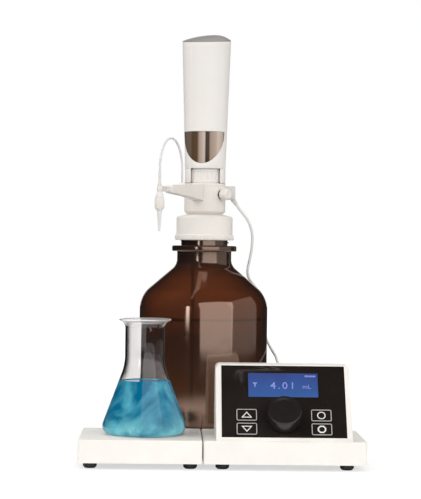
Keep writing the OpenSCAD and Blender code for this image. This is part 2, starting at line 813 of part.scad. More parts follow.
module coupling_ring() {
    r = ring_d / 2;
    color(WHITE) in_head() difference() {
        union() {
            translate([0, 0, ring_z]) cylinder(h = ring_h - 0.2, r = r - 0.6);
            translate([0, 0, ring_z + 1.2]) cylinder(h = 1.6, r = r);
            translate([0, 0, ring_z + ring_h - 3]) cylinder(h = 1.6, r = r);
            for (i = [0:ring_ribs - 1]) rotate([0, 0, i * 360 / ring_ribs])
                translate([r - 0.75, 0, ring_z + 2]) cylinder(h = ring_h - 4.2, r = 0.6, $fn = 16);
        }
        translate([0, 0, ring_z - 1]) cylinder(h = ring_h + 2, r = glass_r + fit_gap);
    }
}

module glass_cylinder() {
    color(CLEAR) in_head() translate([0, 0, ring_z]) ring(glass_r, piston_d / 2, glass_h);
}

module piston() {
    seal_z = piston_z + 3;
    color("white") in_head() difference() {
        union() {
            translate([0, 0, piston_z]) cylinder(h = piston_h, d = piston_d - 2 * running_gap);
            translate([0, 0, piston_z]) cylinder(h = rod_top - piston_z, d = rod_d);
        }
        translate([0, 0, piston_z + piston_h]) cylinder(h = 200, d = screw_d + 2 * rod_bore_gap);
        translate([0, 0, seal_z]) ring(piston_d, piston_d / 2 - 2, 3);
    }
}

module piston_seal() {
    color(BLACK) in_head() translate([0, 0, piston_z + 3])
        ring(piston_d / 2 - running_gap, piston_d / 2 - 2, 3);
}

module drive_nut() {
    color([0.72, 0.6, 0.3]) in_head() translate([0, 0, nut_z])
        ring(nut_d / 2, screw_d / 2 + running_gap, nut_h);
}

module lead_screw() {
    low = piston_z + piston_h + stroke + 1;
    color(STEEL) in_head() {
        translate([0, 0, low]) cylinder(h = top_plate_z - 0.6 - low, d = screw_d);
        translate([0, 0, top_plate_z - 1]) cylinder(h = plate_t + 12, d = motor_shaft_d);
    }
}

module screw_bearing() {
    color(STEEL) in_head() translate([0, 0, top_plate_z + 0.2])
        ring(bearing_d / 2, motor_shaft_d / 2 + running_gap, plate_t - 0.2);
}

// Two plates on two columns carry the motor above the glass cylinder
module drive_frame() {
    low_r = casing_r(casing_z + 1) - casing_wall - fit_gap;
    top_r = casing_r(top_plate_z) - casing_wall - fit_gap;
    color(STEEL) in_head() difference() {
        union() {
            translate([0, 0, casing_z]) cylinder(h = plate_t, r = low_r);
            translate([0, 0, top_plate_z]) cylinder(h = plate_t, r = top_r);
            for (x = [-1, 1]) translate([x * column_x, column_y, casing_z + 1])
                cylinder(h = top_plate_z - casing_z, d = column_d);
        }
        translate([0, 0, casing_z - 1]) cylinder(h = plate_t + 2, r = glass_r + fit_gap);
        translate([0, 0, top_plate_z + 0.2]) cylinder(h = plate_t + 2, d = bearing_d + 0.04);
        translate([0, 0, top_plate_z - 1]) cylinder(h = plate_t + 2, d = screw_d + 2);
    }
}

module drive_motor() {
    color(BLACK) in_head() translate([0, 0, motor_z]) difference() {
        linear_extrude(motor_h) corner_plan(motor_w, motor_w, 3, 3);
        translate([0, 0, -1]) cylinder(h = 15, d = motor_shaft_d + 2 * running_gap);
    }
}

module driver_board() {
    color("darkgreen") in_head()
        translate([-column_x, column_y + column_d / 2, nut_z + 3]) cube([2 * column_x, board_t, board_h]);
}

// ---- casing of the dosing head ----

// Solid inside the casing's outer face, at inset i
module casing_solid(i) {
    rotate_extrude() polygon([[0, ring_z - 1], [casing_d0 / 2 - i, ring_z - 1], [casing_d0 / 2 - i, casing_z],
        [casing_r(casing_top + 10) - i, casing_top + 10], [0, casing_top + 10]]);
}

// Everything below the tilted plane that lies d above the casing's rim
module under_tilt(d) {
    translate([0, 0, rim_z + d]) rotate([cap_tilt, 0, 0]) translate([-casing_d1, -casing_d1, -2 * casing_h])
        cube([2 * casing_d1, 2 * casing_d1, 2 * casing_h]);
}

module window_outline(gap) {
    a = window_a - gap;
    polygon(concat([for (t = [180:12:360]) [a * cos(t), window_z + (window_b - gap) * sin(t)]],
        [[a, window_z + window_top - gap], [-a, window_z + window_top - gap]]));
}

module window_prism(gap) {
    translate([0, -seam_y - gap, 0]) rotate([90, 0, 0]) linear_extrude(60) window_outline(gap);
}

module casing_shell() {
    intersection() {
        difference() {
            casing_solid(0);
            casing_solid(casing_wall);
        }
        under_tilt(0);
    }
}

module front_shell() {
    color(WHITE) in_head() difference() {
        intersection() {
            casing_shell();
            translate([-casing_d1, -seam_y - 0.1 - casing_d1, casing_z])
                cube([2 * casing_d1, casing_d1, 2 * casing_h]);
        }
        window_prism(0);
    }
}

module rear_shell() {
    color(WHITE) in_head() intersection() {
        casing_shell();
        union() {
            translate([-casing_d1, -seam_y + 0.1, ring_z + 0.2])
                cube([2 * casing_d1, 2 * casing_d1, 2 * casing_h]);
            rotate([0, 0, head_turn]) for (x = [ring_opening / 2, -ring_opening / 2 - casing_d1])
                translate([x, -casing_d1, ring_z + 0.2])
                    cube([casing_d1, casing_d1 + seam_y, ring_h - 0.4]);
        }
    }
}

module inspection_window() {
    color([0.35, 0.28, 0.24]) in_head() intersection() {
        difference() {
            casing_solid(0.3);
            casing_solid(0.3 + window_t);
        }
        window_prism(0.25);
    }
}

// Rounded cap whose highest point lies beside and behind the axis
module cap_body() {
    rim = casing_r(casing_top);
    round_z = cap_h - cap_round_r;
    round_x = rim - sqrt(cap_round_r * cap_round_r - (cap_t - round_z) * (cap_t - round_z));
    low = acos((rim + 1 - round_x) / cap_round_r);
    translate([0, 0, rim_z]) rotate([cap_tilt, 0, 0]) intersection() {
        rotate_extrude() polygon(concat([[0, -cap_spigot_h], [rim + 1, -cap_spigot_h]],
            arc(round_x, round_z, cap_round_r, low, 90, 10), [[0, cap_h]]));
        rotate([0, 0, cap_side]) translate([cap_shift, 0, cap_h - cap_dome_r]) sphere(cap_dome_r, $fn = 128);
    }
}

module top_cap() {
    color([0.35, 0.35, 0.36]) in_head() difference() {
        intersection() {
            cap_body();
            union() {
                difference() {
                    casing_solid(0.15);
                    under_tilt(0);
                }
                intersection() {
                    casing_solid(casing_wall + 0.1);
                    under_tilt(0.5);
                }
            }
        }
        intersection() {
            casing_solid(casing_wall + 2);
            under_tilt(cap_roof);
        }
    }
}

// ---- dosing arm ----

module arm_side() {
    tip_x = arm_reach - 1;
    polygon([[block_r - 4, arm_top - 0.3], [arm_taper_end, arm_top - arm_drop],
        [arm_taper_end + 1, arm_tip_top], [tip_x, arm_tip_top], [tip_x, arm_tip_top - arm_tip_h],
        [arm_taper_end + 1, arm_tip_top - arm_tip_h], [arm_taper_end, arm_top - arm_drop - arm_end_h],
        [arm_belly, arm_top - arm_belly_h], [block_r - 4, arm_top - arm_root_h]]);
}

module arm_plan() {
    tip_x = arm_reach - 1;
    half_tip = arm_tip_w / 2;
    polygon([[0, -arm_root_w / 2], [arm_taper_end, -arm_end_w / 2], [arm_taper_end + 1, -half_tip],
        [tip_x, -half_tip], [tip_x, half_tip], [arm_taper_end + 1, half_tip], [arm_taper_end, arm_end_w / 2],
        [0, arm_root_w / 2]]);
}

module dosing_arm() {
    color(WHITE) difference() {
        union() {
            in_arm() difference() {
                intersection() {
                    rotate([90, 0, 0]) linear_extrude(arm_root_w + 2, center = true) arm_side();
                    translate([0, 0, arm_top - 40]) linear_extrude(60) arm_plan();
                }
                translate([0, 0, arm_top - 40]) cylinder(h = 60, r = arm_root);
            }
            in_arm() translate([arm_root - arm_bore_depth + 0.3, 0, arm_port_z]) rotate([0, 90, 0])
                cylinder(h = arm_bore_depth + 1, d = arm_bore_d);
            at_tip() translate([0, 0, arm_tip_top - arm_tip_h]) cylinder(h = arm_tip_h, r = arm_eye_r);
            in_arm() translate([port_x, 0, arm_top - 8]) cylinder(h = 7.5, d = port_d);
        }
        in_arm() translate([0, 0, arm_port_z]) rotate([0, 90, 0]) cylinder(h = port_x + 2, d = 2);
        in_arm() translate([0, 0, arm_port_z]) rotate([0, 90, 0])
            cylinder(h = arm_root + 2, d = outlet_d + 2 * boss_gap);
        in_arm() translate([port_x, 0, arm_port_z]) cylinder(h = 40, d = tube_d + 2 * boss_gap);
        at_tip() translate([0, 0, arm_top - 40]) cylinder(h = 60, d = tube_d + 2 * boss_gap);
        in_arm() translate([arm_reach - arm_hole_back, 0, arm_tip_top - arm_tip_h / 2]) rotate([90, 0, 0])
            cylinder(h = 20, d = arm_hole_d, center = true);
    }
}

module outlet_valve() {
    color(CREAM) in_arm() translate([arm_root - arm_bore_depth + 1, 0, arm_port_z]) rotate([0, 90, 0])
        ring(outlet_d / 2, 1, 9);
}

// Two straight legs joined by a half turn
module dosing_tube() {
    leg_low = arm_tip_top - arm_tip_h - clip_h - tip_nut_h + 3;
    color(CREAM) in_arm() {
        translate([port_x, 0, arm_port_z + 3]) cylinder(h = arch_z - arm_port_z - 3, d = tube_d);
        translate([arm_reach, 0, leg_low]) cylinder(h = arch_z - leg_low, d = tube_d);
        translate([(port_x + arm_reach) / 2, 0, arch_z]) rotate([90, 0, 0])
            rotate_extrude(angle = 180) translate([arch_r, 0]) circle(d = tube_d, $fn = 24);
    }
}

module tip_sleeve() {
    color(GREY) at_tip() translate([0, 0, arm_tip_top]) difference() {
        union() {
            cylinder(h = sleeve_h + 2, d = sleeve_d);
            cylinder(h = 2, d = 4.4);
        }
        translate([0, 0, -1]) cylinder(h = sleeve_h + 5, d = tube_d + 2 * boss_gap);
    }
}

module tip_clip() {
    z0 = arm_tip_top - arm_tip_h;
    color(CREAM) at_tip() rotate_extrude() polygon([[tube_d / 2 + boss_gap, z0], [2.6, z0],
        [4.4, z0 - clip_h + 1], [4.4, z0 - clip_h], [tube_d / 2 + boss_gap, z0 - clip_h]]);
}

// Nut with the clear tip that hangs from it
module tip_nut() {
    z0 = arm_tip_top - arm_tip_h - clip_h;
    r = tip_nut_d / 2;
    color(WHITE) at_tip() difference() {
        rotate_extrude() polygon([[0, z0], [r - 0.6, z0], [r, z0 - 0.6], [r, z0 - tip_nut_h + 1.5],
            [r - 1.2, z0 - tip_nut_h], [3.1, z0 - tip_nut_h], [1.1, z0 - tip_nut_h - tip_len],
            [0, z0 - tip_nut_h - tip_len]]);
        translate([0, 0, z0 - tip_nut_h + 2.5]) cylinder(h = 20, d = tube_d + 2 * boss_gap);
        translate([0, 0, z0 - tip_nut_h - tip_len - 1]) cylinder(h = 100, d = 1);
    }
}

// ---- control unit ----

// Side outline of the control unit at inset i, seen from the left
function case_outline(i) = let (
        front = case_setback + i,
        turn = 90 - case_lean,
        front_arc_y = slope_y(case_top - case_r, case_r),
        back = case_setback + case_d - i)
    concat([[front, base_top - 2 * i], [front, slope_z + (i - i / cos(case_lean)) / tan(case_lean)]],
        [for (a = [turn:-turn / 5:0])
            [front_arc_y - (case_r - i) * sin(a), case_top - case_r + (case_r - i) * cos(a)]],
        arc(case_setback + case_d - case_back_r, case_top - case_back_r, case_back_r - i, 90, 0, 7),
        [[back, base_top - 2 * i]]);

module case_solid(i) {
    w = case_w - 2 * i;
    intersection() {
        translate([case_x, front_y, 0]) rotate([90, 0, 90]) linear_extrude(w, center = true)
            polygon(case_outline(i));
        translate([case_x, front_y + case_setback + case_d + 1, base_top - 2 * i]) rotate([90, 0, 0])
            linear_extrude(case_d + 2)
            round_top(w, case_h + i, case_r - i);
    }
}

module control_case() {
    opening_w = panel_w - 2 * panel_ledge;
    opening_h = panel_h - 2 * panel_ledge;
    color(WHITE) difference() {
        case_solid(0);
        case_solid(case_wall);
        on_panel() translate([-panel_w / 2 - fit_gap, -fit_gap, -panel_t])
            cube([panel_w + 2 * fit_gap, panel_h + 2 * fit_gap, 20]);
        on_panel() translate([-opening_w / 2, panel_ledge, -panel_t - 10]) cube([opening_w, opening_h, 20]);
        translate([socket_x, rear_y - 5, plug_z]) rotate([-90, 0, 0])
            cylinder(h = 10, d = socket_d + 2 * socket_rim + 2 * boss_gap);
        translate([inlet_x, rear_y - 5, plug_z]) rotate([-90, 0, 0])
            cylinder(h = 10, d = inlet_d + 2 * socket_rim + 2 * boss_gap);
    }
}

module case_bottom() {
    gap = case_wall + fit_gap;
    color(GREY) translate([case_x - case_w / 2 + gap, front_y + case_setback + gap, base_top])
        cube([case_w - 2 * gap, case_d - 2 * gap, bottom_cover_t]);
}

// Round sockets in the back: one for the head's cable, one for the power supply
module rear_sockets() {
    color(BLACK) {
        translate([socket_x, rear_y, plug_z]) rotate([90, 0, 0]) ring(socket_d / 2 + socket_rim, 2, 9);
        translate([inlet_x, rear_y, plug_z]) rotate([90, 0, 0]) difference() {
            ring(inlet_d / 2 + socket_rim, inlet_d / 2 - 1, 11);
        }
        translate([inlet_x, rear_y - 10, plug_z]) rotate([90, 0, 0]) cylinder(h = 2, d = inlet_d + 1);
        translate([inlet_x, rear_y - 3, plug_z]) rotate([90, 0, 0]) cylinder(h = 8, d = 2);
    }
}

// ---- front panel ----

module plate_at(w, h, depth, t) { translate([-w / 2, -h / 2, depth]) cube([w, h, t]); }

module front_panel() {
    color(BLACK) difference() {
        on_panel() translate([-panel_w / 2, 0, -panel_t]) cube([panel_w, panel_h, panel_t]);
        on_panel(0, display_v + display_h / 2) plate_at(display_w, display_h, -5, 10);
        on_panel(0, knob_v) translate([0, 0, -5]) cylinder(h = 10, d = knob_shaft_d + 1);
        for (p = key_places) on_panel(p[0], p[1]) plate_at(key_w + 2 * fit_gap, key_h + 2 * fit_gap, -5, 10);
    }
}

module display_window() {
    color([0.3, 0.45, 0.95]) on_panel(0, display_v + display_h / 2)
        plate_at(display_w - 2 * fit_gap, display_h - 2 * fit_gap, -panel_t, panel_t - 0.2);
}

module display_module() {
    color(STEEL) on_panel(0, display_v + display_h / 2)
        plate_at(display_w + 6, display_h + 6, board_n, -board_n - panel_t);
}

module circuit_board() {
    color("darkgreen") on_panel() difference() {
        translate([-panel_w / 2 + board_inset, board_inset, board_n - board_t])
            cube([panel_w - 2 * board_inset, panel_h - 2 * board_inset, board_t]);
        translate([0, knob_v, board_n - board_t - 1]) cylinder(h = board_t + 2, d = knob_shaft_d + 3);
    }
}

module key_switches() {
    color(STEEL) for (p = key_places) on_panel(p[0], p[1]) plate_at(6, 6, board_n, switch_h);
}

module key_cap(i) {
    p = key_places[i];
    under = -panel_t - key_under;
    color(BLACK) on_panel(p[0], p[1]) {
        plate_at(key_w, key_h, under, -under + key_proud);
        plate_at(key_w + 2 * key_flange, key_h, under, key_flange_t);
    }
}

module key_up() { key_cap(0); }
module key_down() { key_cap(1); }
module key_cycle() { key_cap(2); }
module key_stop() { key_cap(3); }

module encoder_body() {
    h = -board_n - panel_t;
    color(STEEL) on_panel(0, knob_v) difference() {
        plate_at(14, 14, board_n, h);
        translate([0, 0, board_n - 1]) cylinder(h = h + 2, d = knob_shaft_d + 2 * running_gap);
    }
}

module encoder_shaft() {
    color(STEEL) on_panel(0, knob_v) translate([0, 0, board_n])
        cylinder(h = -board_n + knob_gap + knob_h * 0.6, d = knob_shaft_d);
}

module control_knob() {
    neck = knob_r - knob_taper;
    dish_r = (knob_top_r * knob_top_r + knob_dish * knob_dish) / (2 * knob_dish);
    dish_half = asin(knob_top_r / dish_r);
    color(BLACK) on_panel(0, knob_v) translate([0, 0, knob_gap]) difference() {
        rotate_extrude() polygon(concat([[0, 0], [knob_r, 0], [knob_r, 1.5], [neck, knob_h - knob_edge],
            [knob_top_r, knob_h]], arc(0, knob_h - knob_dish + dish_r, dish_r, dish_half - 90, -90, 5)));
        translate([0, 0, -1]) cylinder(h = knob_h * 0.6 + 1.05, d = knob_shaft_d + 0.04);
    }
}

// ---- head cable ----

module connector_box() {
    translate([0, -connector_w / 2, connector_z])
        cube([connector_reach, connector_w, connector_h]);
}

module cable_connector() {
    start = CABLE_ROUTE[0];
    color(GREY) {
        on_bottle() difference() {
            connector_box();
            translate([0, 0, connector_z - 1]) cylinder(h = connector_h + 2, r = block_r + 0.1);
        }
        intersection() {
            along(start, CABLE_ROUTE[1]) translate([0, 0, -GLAND_LEN])
                cylinder(h = GLAND_LEN, r1 = cable_d / 2 + 1, r2 = cable_d / 2 + 0.4);
            translate([bottle_x, bottle_y - connector_w, connector_z - connector_h + EPS])
                cube([2 * connector_reach, 2 * connector_w, connector_h]);
        }
    }
}

// Moves +Z onto the line from p to q, with the origin at p
module along(p, q) {
    d = q - p;
    translate(p) rotate([0, acos(d[2] / norm(d)), atan2(d[1], d[0])]) children();
}

function unit(v) = v / norm(v);

// Point between b and c on the smooth curve through a, b, c and d
function on_curve(a, b, c, d, t) = 0.5 * (2 * b + (c - a) * t + (2 * a - 5 * b + 4 * c - d) * t * t
    + (3 * b - a - 3 * c + d) * t * t * t);

function smooth_path(p, steps) = let (n = len(p) - 1) concat(
    [for (i = [0:n - 1], s = [0:steps - 1])
        on_curve(p[max(i - 1, 0)], p[i], p[i + 1], p[min(i + 2, n)], s / steps)], [p[n]]);

module swept_tube(path, d, sides) {
    n = len(path);
    rings = [for (i = [0:n - 1]) let (
            t = unit(path[min(i + 1, n - 1)] - path[max(i - 1, 0)]),
            u = unit(cross(t, [1, 0, 0])), v = cross(t, u))
        for (s = [0:sides - 1]) path[i] + d / 2 * (cos(360 * s / sides) * u + sin(360 * s / sides) * v)];
    caps = [[for (s = [0:sides - 1]) sides - 1 - s], [for (s = [0:sides - 1]) (n - 1) * sides + s]];
    sides_faces = [for (i = [0:n - 2], s = [0:sides - 1]) let (a = i * sides + s,
        b = i * sides + (s + 1) % sides) [a, b, b + sides, a + sides]];
    polyhedron(rings, concat(caps, sides_faces), convexity = 10);
}

module head_cable() {
    color(GREY) swept_tube(smooth_path(CABLE_ROUTE, CABLE_STEPS), cable_d, CABLE_SIDES);
}

module cable_plug() {
    end = CABLE_ROUTE[len(CABLE_ROUTE) - 1];
    relief = end[1] - rear_y - plug_len;
    color(BLACK) translate([socket_x, rear_y, plug_z]) rotate([-90, 0, 0]) {
        rotate_extrude() polygon([[0, 0], [plug_d / 2, 0], [plug_d / 2, plug_len - 1],
            [plug_d / 2 - 1, plug_len], [cable_d / 2 + 1, plug_len], [cable_d / 2 + 0.3, plug_len + relief],
            [0, plug_len + relief]]);
        translate([0, 0, -6]) cylinder(h = 6 + EPS, d = 3.9);
    }
}

stirrer_housing();
stirrer_bottom();
stirrer_feet();
stirrer_motor();
stirrer_shaft();
magnet_carrier();
drive_magnets();
stir_bar();
flask();
base_housing();
base_bottom();
base_feet();
bottom_screws();
control_case();
case_bottom();
rear_sockets();
front_panel();
display_window();
display_module();
circuit_board();
key_switches();
encoder_body();
encoder_shaft();
control_knob();
key_up();
key_down();
key_cycle();
key_stop();
reagent_bottle();
screw_collar();
bottle_gasket();
suction_tube();
valve_block();
inlet_valve();
outlet_valve();
valve_spindle();
valve_knob();
valve_washer();
coupling_ring();
glass_cylinder();
piston();
piston_seal();
drive_nut();
lead_screw();
drive_frame();
screw_bearing();
drive_motor();
driver_board();
front_shell();
rear_shell();
inspection_window();
top_cap();
dosing_arm();
dosing_tube();
tip_sleeve();
tip_clip();
tip_nut();
cable_connector();
head_cable();
cable_plug();
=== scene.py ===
"""Looks of an automatic titrator: a stirrer with a conical flask and a control unit in front of
a reagent bottle, and a motor-driven dosing head screwed on the bottle."""

import json
import math

import bmesh
import bpy
from mathutils import Matrix, Vector


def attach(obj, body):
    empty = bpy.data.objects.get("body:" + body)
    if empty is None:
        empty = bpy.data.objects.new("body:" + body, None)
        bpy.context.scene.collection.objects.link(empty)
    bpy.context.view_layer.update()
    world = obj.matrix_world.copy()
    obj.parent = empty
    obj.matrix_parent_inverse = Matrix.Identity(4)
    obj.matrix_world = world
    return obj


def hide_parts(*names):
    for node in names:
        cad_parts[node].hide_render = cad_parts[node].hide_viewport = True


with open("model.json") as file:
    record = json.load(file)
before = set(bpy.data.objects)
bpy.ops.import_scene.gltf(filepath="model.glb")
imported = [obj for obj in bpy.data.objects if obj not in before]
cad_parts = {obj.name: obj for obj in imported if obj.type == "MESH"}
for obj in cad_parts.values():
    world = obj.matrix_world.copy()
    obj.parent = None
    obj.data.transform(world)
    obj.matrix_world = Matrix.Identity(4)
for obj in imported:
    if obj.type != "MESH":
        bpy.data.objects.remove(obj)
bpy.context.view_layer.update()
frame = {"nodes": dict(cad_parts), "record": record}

# Shapes are written in millimetres, and made metres when a piece is finished
MM = 0.001
MERGE_GAP = 1e-4

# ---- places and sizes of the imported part, in millimetres ----
FRONT_Y = -133.7207
BASE_D = 125.0
BASE_Y = FRONT_Y + BASE_D / 2
BASE_BOTTOM = 6.0
BASE_TOP = 29.5
STIRRER_X, STIRRER_W = -83.0, 125.0
CONTROL_X, CONTROL_W = 63.0, 165.0
FLASK_X = -80.0
BOTTLE_X, BOTTLE_Y = -17.3, 67.7793
BOTTLE_R = 70.5
CASE_X = 61.9
SOCKET_X, PLUG_Z = 67.0, 50.0
REAR_Y = FRONT_Y + 100.0
MOUTH_Z = 249.836
COLLAR_Z, COLLAR_TOP = 230.336, 256.336
BLOCK_Z, BLOCK_TOP = 258.436, 292.736
BLOCK_R = 22.65
VALVE_Z = 280.636
RING_Z, CASING_Z = 292.936, 309.136
ARM_REACH = 138.0
ARM_TIP_TOP = 286.036
ARM_TIP_H = 5.2
CLIP_H = 7.3
TIP_NUT_H = 12.0
CONNECTOR_Z = VALVE_Z - 5.4
CABLE_R = 1.5
PANEL_LEAN = math.radians(36)
PANEL_ORIGIN = (CASE_X, -131.0153, 33.271)
DISPLAY_LOW, DISPLAY_H = 47.5, 28.8
KNOB_UP = 23.6


def turn(axis, degrees):
    """A turn about one axis of the frame."""
    return Matrix.Rotation(math.radians(degrees), 4, axis)


def at(x=0.0, y=0.0, z=0.0):
    """A shift from the origin."""
    return Matrix.Translation((x, y, z))


# Frames of the bottle, the dosing head, its arm, its tip and the valve
ON_BOTTLE = at(BOTTLE_X, BOTTLE_Y)
IN_HEAD = ON_BOTTLE @ turn("Z", -12)
IN_ARM = ON_BOTTLE @ turn("Z", -111)
AT_TIP = IN_ARM @ at(ARM_REACH)
ON_VALVE = ON_BOTTLE @ at(z=VALVE_Z) @ turn("Z", -40) @ turn("Y", 90)


def on_panel(across=0.0, up=0.0, out=0.0):
    """A place on the leaning front panel, from the middle of its lower edge."""
    return at(*PANEL_ORIGIN) @ Matrix.Rotation(math.pi / 2 - PANEL_LEAN, 4, "X") @ at(across, up, out)


# ---- camera ----

def make_camera():
    """A long lens 1.92 m in front of the bases, turned, dipped and rolled a little."""
    away, height = 1920, 231
    heading, dip, roll = -1.29, 0.295, 0.7
    data = bpy.data.cameras.new("camera")
    data.sensor_width = 36
    data.lens = 138.5
    data.clip_end = 50
    camera = bpy.data.objects.new("camera", data)
    place = at(-58.15 * MM, (FRONT_Y - away) * MM, height * MM)
    camera.matrix_world = place @ turn("Z", heading) @ turn("X", 90 - dip) @ turn("Z", roll)
    bpy.context.scene.collection.objects.link(camera)
    bpy.context.scene.camera = camera


# ---- materials ----

class Value:
    """A node's output, on which shader maths is written as plain expressions."""

    def __init__(self, shading, socket):
        self.shading, self.socket = shading, socket

    def maths(self, operation, first, second):
        """Adds the Math node that an expression stands for."""
        return self.shading.node("Math", {"operation": operation}, {0: first, 1: second})

    def __add__(self, other):
        return self.maths("ADD", self, other)

    def __radd__(self, other):
        return self.maths("ADD", other, self)

    def __sub__(self, other):
        return self.maths("SUBTRACT", self, other)

    def __rsub__(self, other):
        return self.maths("SUBTRACT", other, self)

    def __mul__(self, other):
        return self.maths("MULTIPLY", self, other)

    def __rmul__(self, other):
        return self.maths("MULTIPLY", other, self)

    def __abs__(self):
        return self.maths("ABSOLUTE", self, 0.0)

    def __gt__(self, other):
        return self.maths("GREATER_THAN", self, other)


class Shading:
    """The node tree of a material or of the world, with the few ways nodes are added to it."""

    def __init__(self, tree):
        self.tree = tree

    def put(self, socket, value):
        """Links a value to a socket, or sets the socket's own number or colour."""
        if isinstance(value, Value):
            self.tree.links.new(value.socket, socket)
        elif isinstance(value, (tuple, list)) and socket.type == "RGBA":
            socket.default_value = (*value[:3], 1)
        else:
            socket.default_value = value

    def node(self, kind, settings=None, sockets=None, out=0):
        """Adds a node: its settings first, then the values or links of its sockets."""
        made = self.tree.nodes.new("ShaderNode" + kind)
        for key, value in (settings or {}).items():
            if key == "stops":
                ramp = made.color_ramp.elements
                while len(ramp) < len(value):
                    ramp.new(1)
                for stop, (place, colour) in zip(ramp, value):
                    stop.position, stop.color = place, (*colour, 1)
            else:
                setattr(made, key, value)
        for key, value in (sockets or {}).items():
            self.put(made.inputs[key], value)
        return Value(self, made.outputs[out])

    def here(self):
        """The point that is shaded, in the frame that every piece shares."""
        return self.node("TexCoord", out="Object")

    def noise(self, scale, detail=2.0, stretch=(1, 1, 1), distortion=0.0):
        """Clouds of a scale per metre, drawn out where stretch is under 1."""
        place = self.node("Mapping", {}, {"Vector": self.here(), "Scale": stretch})
        return self.node("TexNoise", {}, {"Vector": place, "Scale": scale, "Detail": detail,
                                          "Distortion": distortion})

    def along(self, direction, origin):
        """Distance in millimetres from a point, measured in one direction."""
        away = self.node("VectorMath", {"operation": "SUBTRACT"},
                         {0: self.here(), 1: [c * MM for c in origin]})
        return self.node("VectorMath", {"operation": "DOT_PRODUCT"},
                         {0: away, 1: [c / MM for c in direction]}, out="Value")

    def span(self, value, low, high, first=0.0, last=1.0):
        """Runs from first to last as a value goes from low to high, and no further."""
        return self.node("MapRange", {"clamp": True}, {0: value, 1: low, 2: high, 3: first, 4: last})

    def mix(self, share, first, second):
        """The first colour, with a share of the second."""
        return self.node("Mix", {"data_type": "RGBA"}, {0: share, 6: first, 7: second}, out=2)

    def edge_on(self):
        """From 0 where the surface is seen square on, to 1 where it is seen edge on."""
        return self.node("LayerWeight", {}, {"Blend": 0.5}, out="Facing")

    def height(self):
        """Millimetres above the table."""
        return self.along((0, 0, 1), (0, 0, 0))

    def ray(self, kind):
        """1 for camera, glossy or transmission rays, and 0 for the others."""
        return self.node("LightPath", out=f"Is {kind} Ray")

    def blend(self, share, first, second):
        """The first shader, with a share of the second."""
        return self.node("MixShader", {}, {0: share, 1: first, 2: second})

    def send(self, shader, output):
        """Links the last shader to the tree's output."""
        self.tree.links.new(shader.socket, self.tree.nodes[output].inputs["Surface"])


class Finish(Shading):
    """A procedural material: its shader's own values, and the nodes that vary them."""

    def __init__(self, name, colour, roughness, **sockets):
        self.material = bpy.data.materials.new(name)
        self.material.use_nodes = True
        super().__init__(self.material.node_tree)
        self.shader = self.tree.nodes["Principled BSDF"]
        self.put(self.shader.inputs["Base Color"], colour)
        self.put(self.shader.inputs["Roughness"], roughness)
        for key, value in sockets.items():
            self.put(self.shader.inputs[key.replace("_", " ")], value)

    def colour(self, value):
        """Gives the surface a colour that varies."""
        self.put(self.shader.inputs["Base Color"], value)

    def glow(self, value):
        """Gives the surface a light of its own."""
        self.put(self.shader.inputs["Emission Color"], value)

    def rough(self, value):
        """Gives the surface a roughness that varies."""
        self.put(self.shader.inputs["Roughness"], value)

    def bump(self, height, depth, strength=1.0):
        """Raises the surface by height times depth, in millimetres."""
        self.put(self.shader.inputs["Normal"], self.node(
            "Bump", {}, {"Strength": strength, "Distance": depth * MM, "Height": height}))
        return self


def moulded(name, colour, roughness, grain=0.02, grain_scale=1800, shade=0.94, **sockets):
    """Injection-moulded plastic: fine spark-eroded grain, faint clouding, satin gloss."""
    finish = Finish(name, colour, roughness, **sockets)
    cloud = finish.noise(35, 3)
    finish.colour(finish.mix(finish.span(cloud, 0.35, 0.75), colour, tuple(c * shade for c in colour)))
    finish.rough(finish.span(finish.noise(160, 2), 0.3, 0.7, roughness - 0.05, roughness + 0.07))
    return finish.bump(finish.noise(grain_scale, 2), grain, 0.5)


def metal(name, colour, roughness):
    """Turned or drawn metal, with fine tool marks across its height."""
    finish = Finish(name, colour, roughness, Metallic=1.0)
    marks = finish.noise(900, 3, (1, 1, 12))
    finish.rough(finish.span(marks, 0.3, 0.7, roughness - 0.06, roughness + 0.12))
    finish.colour(finish.mix(finish.span(marks, 0.3, 0.7), colour, tuple(c * 0.85 for c in colour)))
    return finish.bump(marks, 0.01, 0.4)


def clear_glass():
    """Flask glass: grey where the bare wall is seen edge on, as painted shade, with a pale rim that is a
    painted glow.
    """
    clear, dim = (0.88, 0.87, 0.865), (0.14, 0.135, 0.13)
    finish = Finish("clear_glass", clear, 0.02, Transmission_Weight=1.0, IOR=1.47,
                    Emission_Strength=0.2)
    height = finish.height()
    over_liquid = finish.span(height, 82, 92, 0.15, 1.0)
    # Painted shade: the wall above the liquid turns grey where it is seen edge on
    finish.colour(finish.mix(finish.span(finish.edge_on(), 0.32, 0.6) * over_liquid, clear, dim))
    # A painted highlight: the rim glows pale white though it is no lamp
    finish.glow(finish.mix(finish.span(height, 143.5, 148), (0, 0, 0), (1, 0.97, 0.95)))
    finish.rough(finish.span(finish.noise(60, 3), 0.55, 0.8, 0.0, 0.04))
    return finish.bump(finish.noise(28, 2, (1, 1, 0.3)), 0.35, 0.25)


